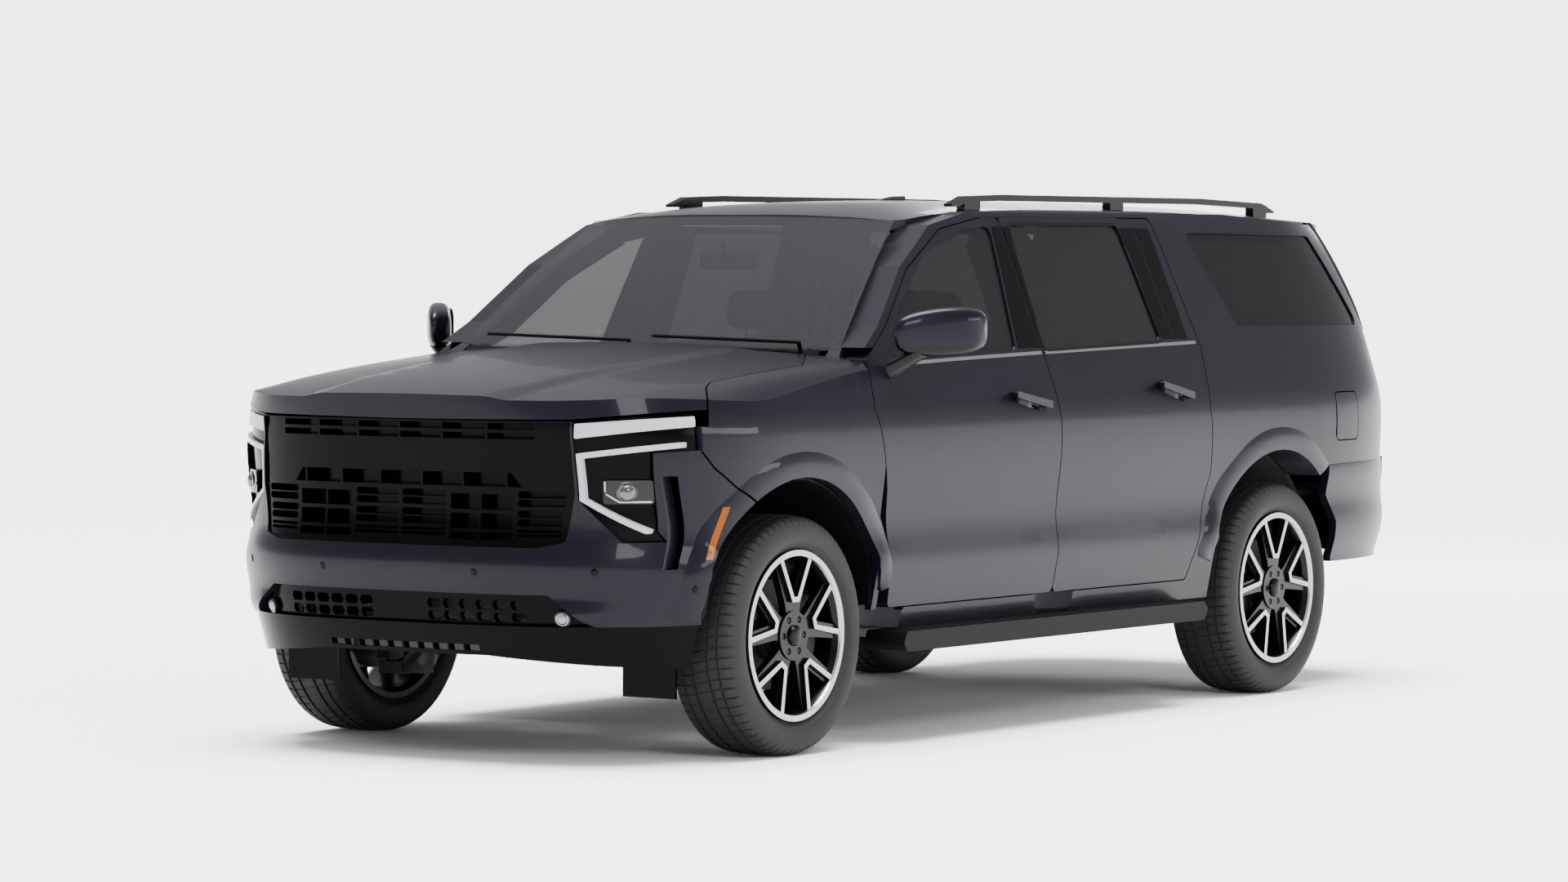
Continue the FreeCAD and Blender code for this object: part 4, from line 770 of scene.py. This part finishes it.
def pad_object(name, size, place, turn, crown, seams, power, grid=22):
    """Padded block: a rounded closed form, crowned on its face, with sewn channels."""
    points = {}
    ordered = []
    faces = []

    def vertex(u, v, w):
        key = (round(u * grid), round(v * grid), round(w * grid))
        if key not in points:
            points[key] = len(ordered)
            norm = (abs(u) ** power + abs(v) ** power + abs(w) ** power) ** (1 / power)
            x, y, z = u / norm, v / norm, w / norm
            swell = crown * max(0.0, 1 - x * x) * max(0.0, 1 - y * y)
            pinch = 1 - 0.03 * (1 - abs(x)) * (abs(y) > 0.9) - 0.03 * (1 - abs(y)) * (abs(x) > 0.9)
            depth = 0.0
            for axis, at in seams:
                value = x if axis == "x" else y
                depth += SEAM_DEPTH * math.exp(-((value - at) / SEAM_WIDTH) ** 2)
            top = max(0.0, z) ** 2
            ordered.append(Vector((x * size[0] / 2 * pinch, y * size[1] / 2 * pinch,
                                   z * size[2] / 2 + (swell - depth) * top)))
        return points[key]

    for axis in range(3):
        for sign in (-1.0, 1.0):
            for i in range(grid):
                for j in range(grid):
                    quad = []
                    for di, dj in ((0, 0), (1, 0), (1, 1), (0, 1)):
                        value = [0.0, 0.0, 0.0]
                        value[axis] = sign
                        value[(axis + 1) % 3] = -1 + 2 * (i + di) / grid
                        value[(axis + 2) % 3] = -1 + 2 * (j + dj) / grid
                        quad.append(vertex(*value))
                    faces.append(quad)
    return new_object(name, [Vector(place) + turn @ p for p in ordered], faces)


def make_seat(name, x, y, half, z, seams, materials):
    """Padded cushion, back and headrest on a plain base with two headrest posts."""
    lean = Matrix.Rotation(math.radians(-103), 3, "Y")
    level = Matrix.Rotation(math.radians(-3), 3, "Y")
    pads = (
        ("cushion", (0.53, 2 * half - 0.01, 0.135), (x + 0.005, y, z + 0.272), level, 0.012,
         seams, 4.5),
        ("back", (0.575, 2 * half - 0.03, 0.115), (x - 0.273, y, z + 0.545), lean, 0.010,
         seams, 4.5),
        ("headrest", (0.155, 0.25, 0.08), (x - 0.318, y, z + 0.932), lean, 0.006,
         HEADREST_SEAMS, 3.5),
    )
    for part, size, place, turn, crown, lines, power in pads:
        pad = pad_object(name + "_" + part, size, place, turn, crown, lines, power)
        finish_piece(pad, "body", materials["seat_leather"], 0)
        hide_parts("seats")
    parts = [box_part((x - 0.2, y - half + 0.045, z + 0.001),
                      (x + 0.2, y + half - 0.045, z + 0.215))]
    for dy in (-0.05, 0.05):
        post = [(x - 0.335, y + dy, z + 0.79), (x - 0.328, y + dy, z + 0.90)]
        parts.append(tube_part(post, 0.006))
    base = add_piece(name + "_base", parts, "body", materials["cabin_trim"])
    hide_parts("seats")


def make_seats(materials):
    """Two single seats in each of the first two rows, and a bench behind them."""
    for row, x, y, half, z in SEAT_ROWS:
        for side, sign in SIDES:
            make_seat(row + "_" + side, x, sign * y, half, z, SINGLE_SEAMS, materials)
    make_seat(*THIRD_BENCH, BENCH_SEAMS, materials)


def make_sensors(bumper, materials):
    """Parking sensors: those seen in the photograph, and the outer ones on the other side too."""
    ring = [(0.0, -0.004), (0.0135, -0.004), (0.0135, 0.001), (0.0115, 0.0022), (0.0, 0.0022)]
    parts = []
    for pixel in SENSOR_PIXELS:
        point, normal, _, _ = bumper.ray_cast(*pixel_ray(*pixel))
        if point is None:
            continue
        parts.append(lathe_part(ring, point, normal, 24))
        if point.y > 0.5:
            parts.append(lathe_part(ring, (point.x, -point.y, point.z),
                                    (normal.x, -normal.y, normal.z), 24))
    if parts:
        add_piece("parking_sensors", parts, "body", materials["gloss_black"])


def make_side_marker(side, sign, bumper, lenses):
    strip = side_strip(bumper, [(2.300, 0.876), (2.382, 0.700)], [(2.328, 0.876), (2.410, 0.700)],
                       sign, 0.003, 0.004)
    if strip:
        add_piece("side_marker_" + side, [strip], "body", lenses["amber"])


def make_projector(side, sign, lamp, materials, lenses):
    """Round projector in the head lamp, and the bright edge of its box."""
    rim = [(0.0, -0.01), (0.030, -0.01), (0.036, 0.002), (0.034, 0.005), (0.029, 0.0)]
    dome = [(0.0285, -0.004), (0.027, 0.006), (0.021, 0.013), (0.011, 0.017), (0.0, 0.018)]
    steel = materials["steel"]
    point, normal = hit_end(lamp, sign * 0.809, 0.931, FRONT_START)
    if point is not None:
        add_piece("projector_bezel_" + side, [lathe_part(rim, point, normal, 40)], "body",
                  steel)
        add_piece("projector_lens_" + side, [lathe_part(dome, point, normal, 40)], "body",
                  lenses["lens"])
    path = []
    for y, z in even_line([(0.752, 0.968), (0.752, 0.928), (0.790, 0.899), (0.866, 0.899)], 16):
        point, normal = hit_end(lamp, sign * y, z, FRONT_START)
        if point is not None:
            path.append(point + normal * 0.001)
    if len(path) > 8:
        add_piece("projector_edge_" + side, [tube_part(path, 0.0035)], "body", steel)


def make_fog_lamp(side, sign, lamp, materials, lenses):
    ring = [(0.0, -0.003), (0.0205, -0.003), (0.0225, 0.003), (0.019, 0.005), (0.0175, 0.0)]
    dome = [(0.0172, -0.002), (0.015, 0.004), (0.009, 0.0075), (0.0, 0.0085)]
    point, normal = hit_end(lamp, sign * 0.625, 0.505, FRONT_START)
    if point is not None:
        add_piece("fog_ring_" + side, [lathe_part(ring, point, normal, 32)], "body",
                  materials["steel"])
        add_piece("fog_lens_" + side, [lathe_part(dome, point, normal, 32)], "body",
                  lenses["pearl"])


def make_nose(materials, lenses):
    """Parking sensors, side markers, projectors and fog lamps."""
    bumper = tree_of("front_bumper", "front_fenders")
    lamp = tree_of("headlamps")
    make_sensors(bumper, materials)
    for side, sign in SIDES:
        make_side_marker(side, sign, bumper, lenses)
        make_projector(side, sign, lamp, materials, lenses)
        make_fog_lamp(side, sign, lamp, materials, lenses)


def signed_power(value, power):
    """Power that keeps the sign: under one, it swells a circle towards a square."""
    return math.copysign(abs(value) ** power, value)


def ring_faces(rings, steps, start=0):
    """Faces between closed rings of points, one ring after another."""
    faces = []
    for i in range(rings - 1):
        for k in range(steps):
            n = (k + 1) % steps
            faces.append([start + i * steps + k, start + i * steps + n,
                          start + (i + 1) * steps + n, start + (i + 1) * steps + k])
    return faces


def mirror_shell(sign):
    """Swept rounded shell, deeper at its front than at the glass."""
    rings, steps = 19, 36
    points = []
    for i in range(rings):
        t = math.pi * i / (rings - 1)
        u = -math.cos(t)
        ring = math.sin(t) ** 0.42
        for a in circle_angles(steps):
            v = signed_power(math.cos(a), 0.62) * ring
            w = signed_power(math.sin(a), 0.62) * ring
            depth = 0.055 if v < 0 else 0.084 - 0.028 * u
            points.append(Vector((MIRROR_X - MIRROR_SWEEP * u + depth * v,
                                  sign * (MIRROR_Y + MIRROR_HALF * u),
                                  MIRROR_Z + (MIRROR_TALL + 0.004 * u) * w + 0.010 * u)))
    return points, ring_faces(rings, steps)


def mirror_foot(sign):
    """Tapered bar from the door to the shell."""
    shares = (0.0, 0.33, 0.66, 1.0)
    steps = 16
    points = []
    for t in shares:
        wide, tall = 0.046 - 0.008 * t, 0.034 - 0.008 * t
        for a in circle_angles(steps):
            points.append(Vector((1.268 - 0.045 * t + wide * math.cos(a),
                                  sign * (0.985 + 0.10 * t),
                                  1.330 + 0.062 * t + tall * math.sin(a))))
    faces = ring_faces(len(shares), steps)
    for end in (0, len(shares) - 1):
        faces.append([end * steps + k for k in range(steps)])
    return points, faces


def mirror_pane(sign):
    """Flat mirror glass on the back of the shell."""
    share = 0.80
    steps = 40
    rows = []
    for r in (0.02, 0.5, 0.86, 1.0):
        row = []
        for k in range(steps + 1):
            a = 2 * math.pi * k / steps
            u = share * r * signed_power(math.cos(a), 0.6)
            w = share * r * signed_power(math.sin(a), 0.6)
            row.append((Vector((MIRROR_X - MIRROR_SWEEP * u - 0.0575,
                                sign * (MIRROR_Y + MIRROR_HALF * u), MIRROR_Z + MIRROR_TALL * w)),
                        -FORWARDS))
        rows.append(row)
    return ribbon_part(rows, 0.004)


def make_mirrors(special, lenses):
    """Swept mirror housings on their feet, with their glass."""
    for side, sign in SIDES:
        door = "door_front_" + side
        housing = add_piece("mirror_housing_" + side, [mirror_shell(sign), mirror_foot(sign)],
                            door, special["mirror"], 50)
        glass = add_piece("mirror_glass_" + side, [mirror_pane(sign)], door,
                          lenses["reflector"])
        for piece in (housing, glass):
            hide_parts("mirror_" + side)


def shade_patch_rows(tree, front, rear, sign):
    """Rows of (point, normal) on the door's skin behind one handle, for its patch of painted
    shade.
    """
    ends = (front, front, rear, rear)
    upper = [(end[0] + dx, end[1] + dz) for end, (dx, dz) in zip(ends, SHADE_PATCH_TOP)]
    lower = [(end[0] + dx, end[1] + dz) for end, (dx, dz) in zip(ends, SHADE_PATCH_FOOT)]
    out = Vector((0, sign, 0))
    along, across = 14, 4
    rows = []
    for a, b in zip(even_line(upper, along), even_line(lower, along)):
        row = []
        for k in range(across):
            x, z = [p + (q - p) * k / (across - 1) for p, q in zip(a, b)]
            point, _ = hit_side(tree, x, z, sign, INSIDE_HANDLE)
            if point is not None:
                row.append((point + out * 0.001, out))
        if len(row) == across:
            rows.append(row)
    return rows


def make_handle_shade_patches(materials):
    """Flat black patch behind each door handle: painted shade laid on the skin in place of a
    recess.
    """
    for side, sign in SIDES:
        for door, front, rear in HANDLES:
            rows = shade_patch_rows(tree_of(door + side), front, rear, sign)
            if len(rows) > 4:
                # Painted shade: a gloss-black sheet 1 mm off the skin where the handle's recess
                # would lie in shadow.
                add_piece("handle_shade_patch_" + door + side, [ribbon_part(rows, 0.002)], door + side,
                          materials["gloss_black"])


def make_cabin(materials):
    """Interior mirror on its stalk, and the screen of the dashboard."""
    mirror = [box_part((0.845, -0.13, 1.672), (0.872, 0.13, 1.742), 0.3),
              tube_part([(0.872, 0.0, 1.72), (0.915, 0.0, 1.775)], 0.009)]
    add_piece("interior_mirror", mirror, "body", materials["cabin_trim"])
    screen = [box_part((0.945, -0.19, 1.235), (0.963, 0.19, 1.375), 0.2)]
    add_piece("dash_screen", screen, "body", materials["gloss_black"])


def make_plate(materials):
    """Panel with a blank plate on the liftgate, and the handle bar above it."""
    point, _ = hit_end(tree_of("liftgate"), 0, 1.08, REAR_START)
    if point is None:
        return
    x = point.x
    pieces = (
        ("plate_panel", (x - 0.012, -0.36, 1.005), (x + 0.02, 0.36, 1.175), 0.3, "dark_trim"),
        ("plate_blank", (x - 0.016, -0.155, 1.012), (x - 0.010, 0.155, 1.168), 0.3, "steel"),
        ("gate_handle", (x - 0.022, -0.42, 1.178), (x + 0.02, 0.42, 1.212), 0.35, "gloss_black"),
    )
    for name, low, high, bevel, slot in pieces:
        add_piece(name, [box_part(low, high, bevel)], "liftgate", materials[slot])


def make_rear_wiper(materials):
    """Blade on the liftgate's glass, its arm and the boss that turns it."""
    glass = tree_of("liftgate_glass", "liftgate")
    path = []
    for k in range(9):
        point, normal = hit_end(glass, -0.02 + 0.40 * k / 8, 1.475 + 0.012 * k / 8, REAR_START)
        if point is not None:
            path.append(point + normal * 0.012)
    point, normal = hit_end(glass, -0.02, 1.42, REAR_START)
    if len(path) > 3 and point is not None:
        boss = [(0.022, -0.004), (0.022, 0.014), (0.016, 0.022), (0.0, 0.024)]
        parts = [tube_part(path, 0.006), lathe_part(boss, point, normal, 24),
                 tube_part([point + normal * 0.016, path[0], path[2]], 0.0075)]
        add_piece("rear_wiper", parts, "liftgate", materials["dark_trim"])


def make_reflectors(materials):
    """Red reflectors that lie flat on the rear bumper."""
    bumper = tree_of("rear_bumper")
    half = Vector((0.004, 0.085, 0.017))
    for side, sign in SIDES:
        point, normal = hit_end(bumper, sign * 0.70, 0.66, REAR_START)
        if point is not None:
            turn = normal.to_track_quat("-X", "Z").to_matrix()
            add_piece("reflector_" + side, [box_part(point - half, point + half, 0.3, turn)],
                      "body", materials["lamp_red"])


def make_steps(materials):
    """Ribs along the running boards."""
    for side, sign in SIDES:
        ribs = []
        for k in range(5):
            y = sign * (0.955 + 0.022 * k)
            ribs.append(box_part((-0.72, y - 0.005, 0.401), (1.24, y + 0.005, 0.4055), 0.3))
        add_piece("step_ribs_" + side, ribs, "body", materials["dark_trim"])


make_camera()
materials = make_finishes(FINISHES)
lenses = make_finishes(LENS_FINISHES)
special = make_special_materials()
dress_nodes(materials, special)
make_tyres(materials)
make_window_trim(materials)
make_seats(materials)
make_nose(materials, lenses)
make_mirrors(special, lenses)
make_handle_shade_patches(materials)
make_cabin(materials)
make_plate(materials)
make_rear_wiper(materials)
make_reflectors(materials)
make_steps(materials)
make_studio()
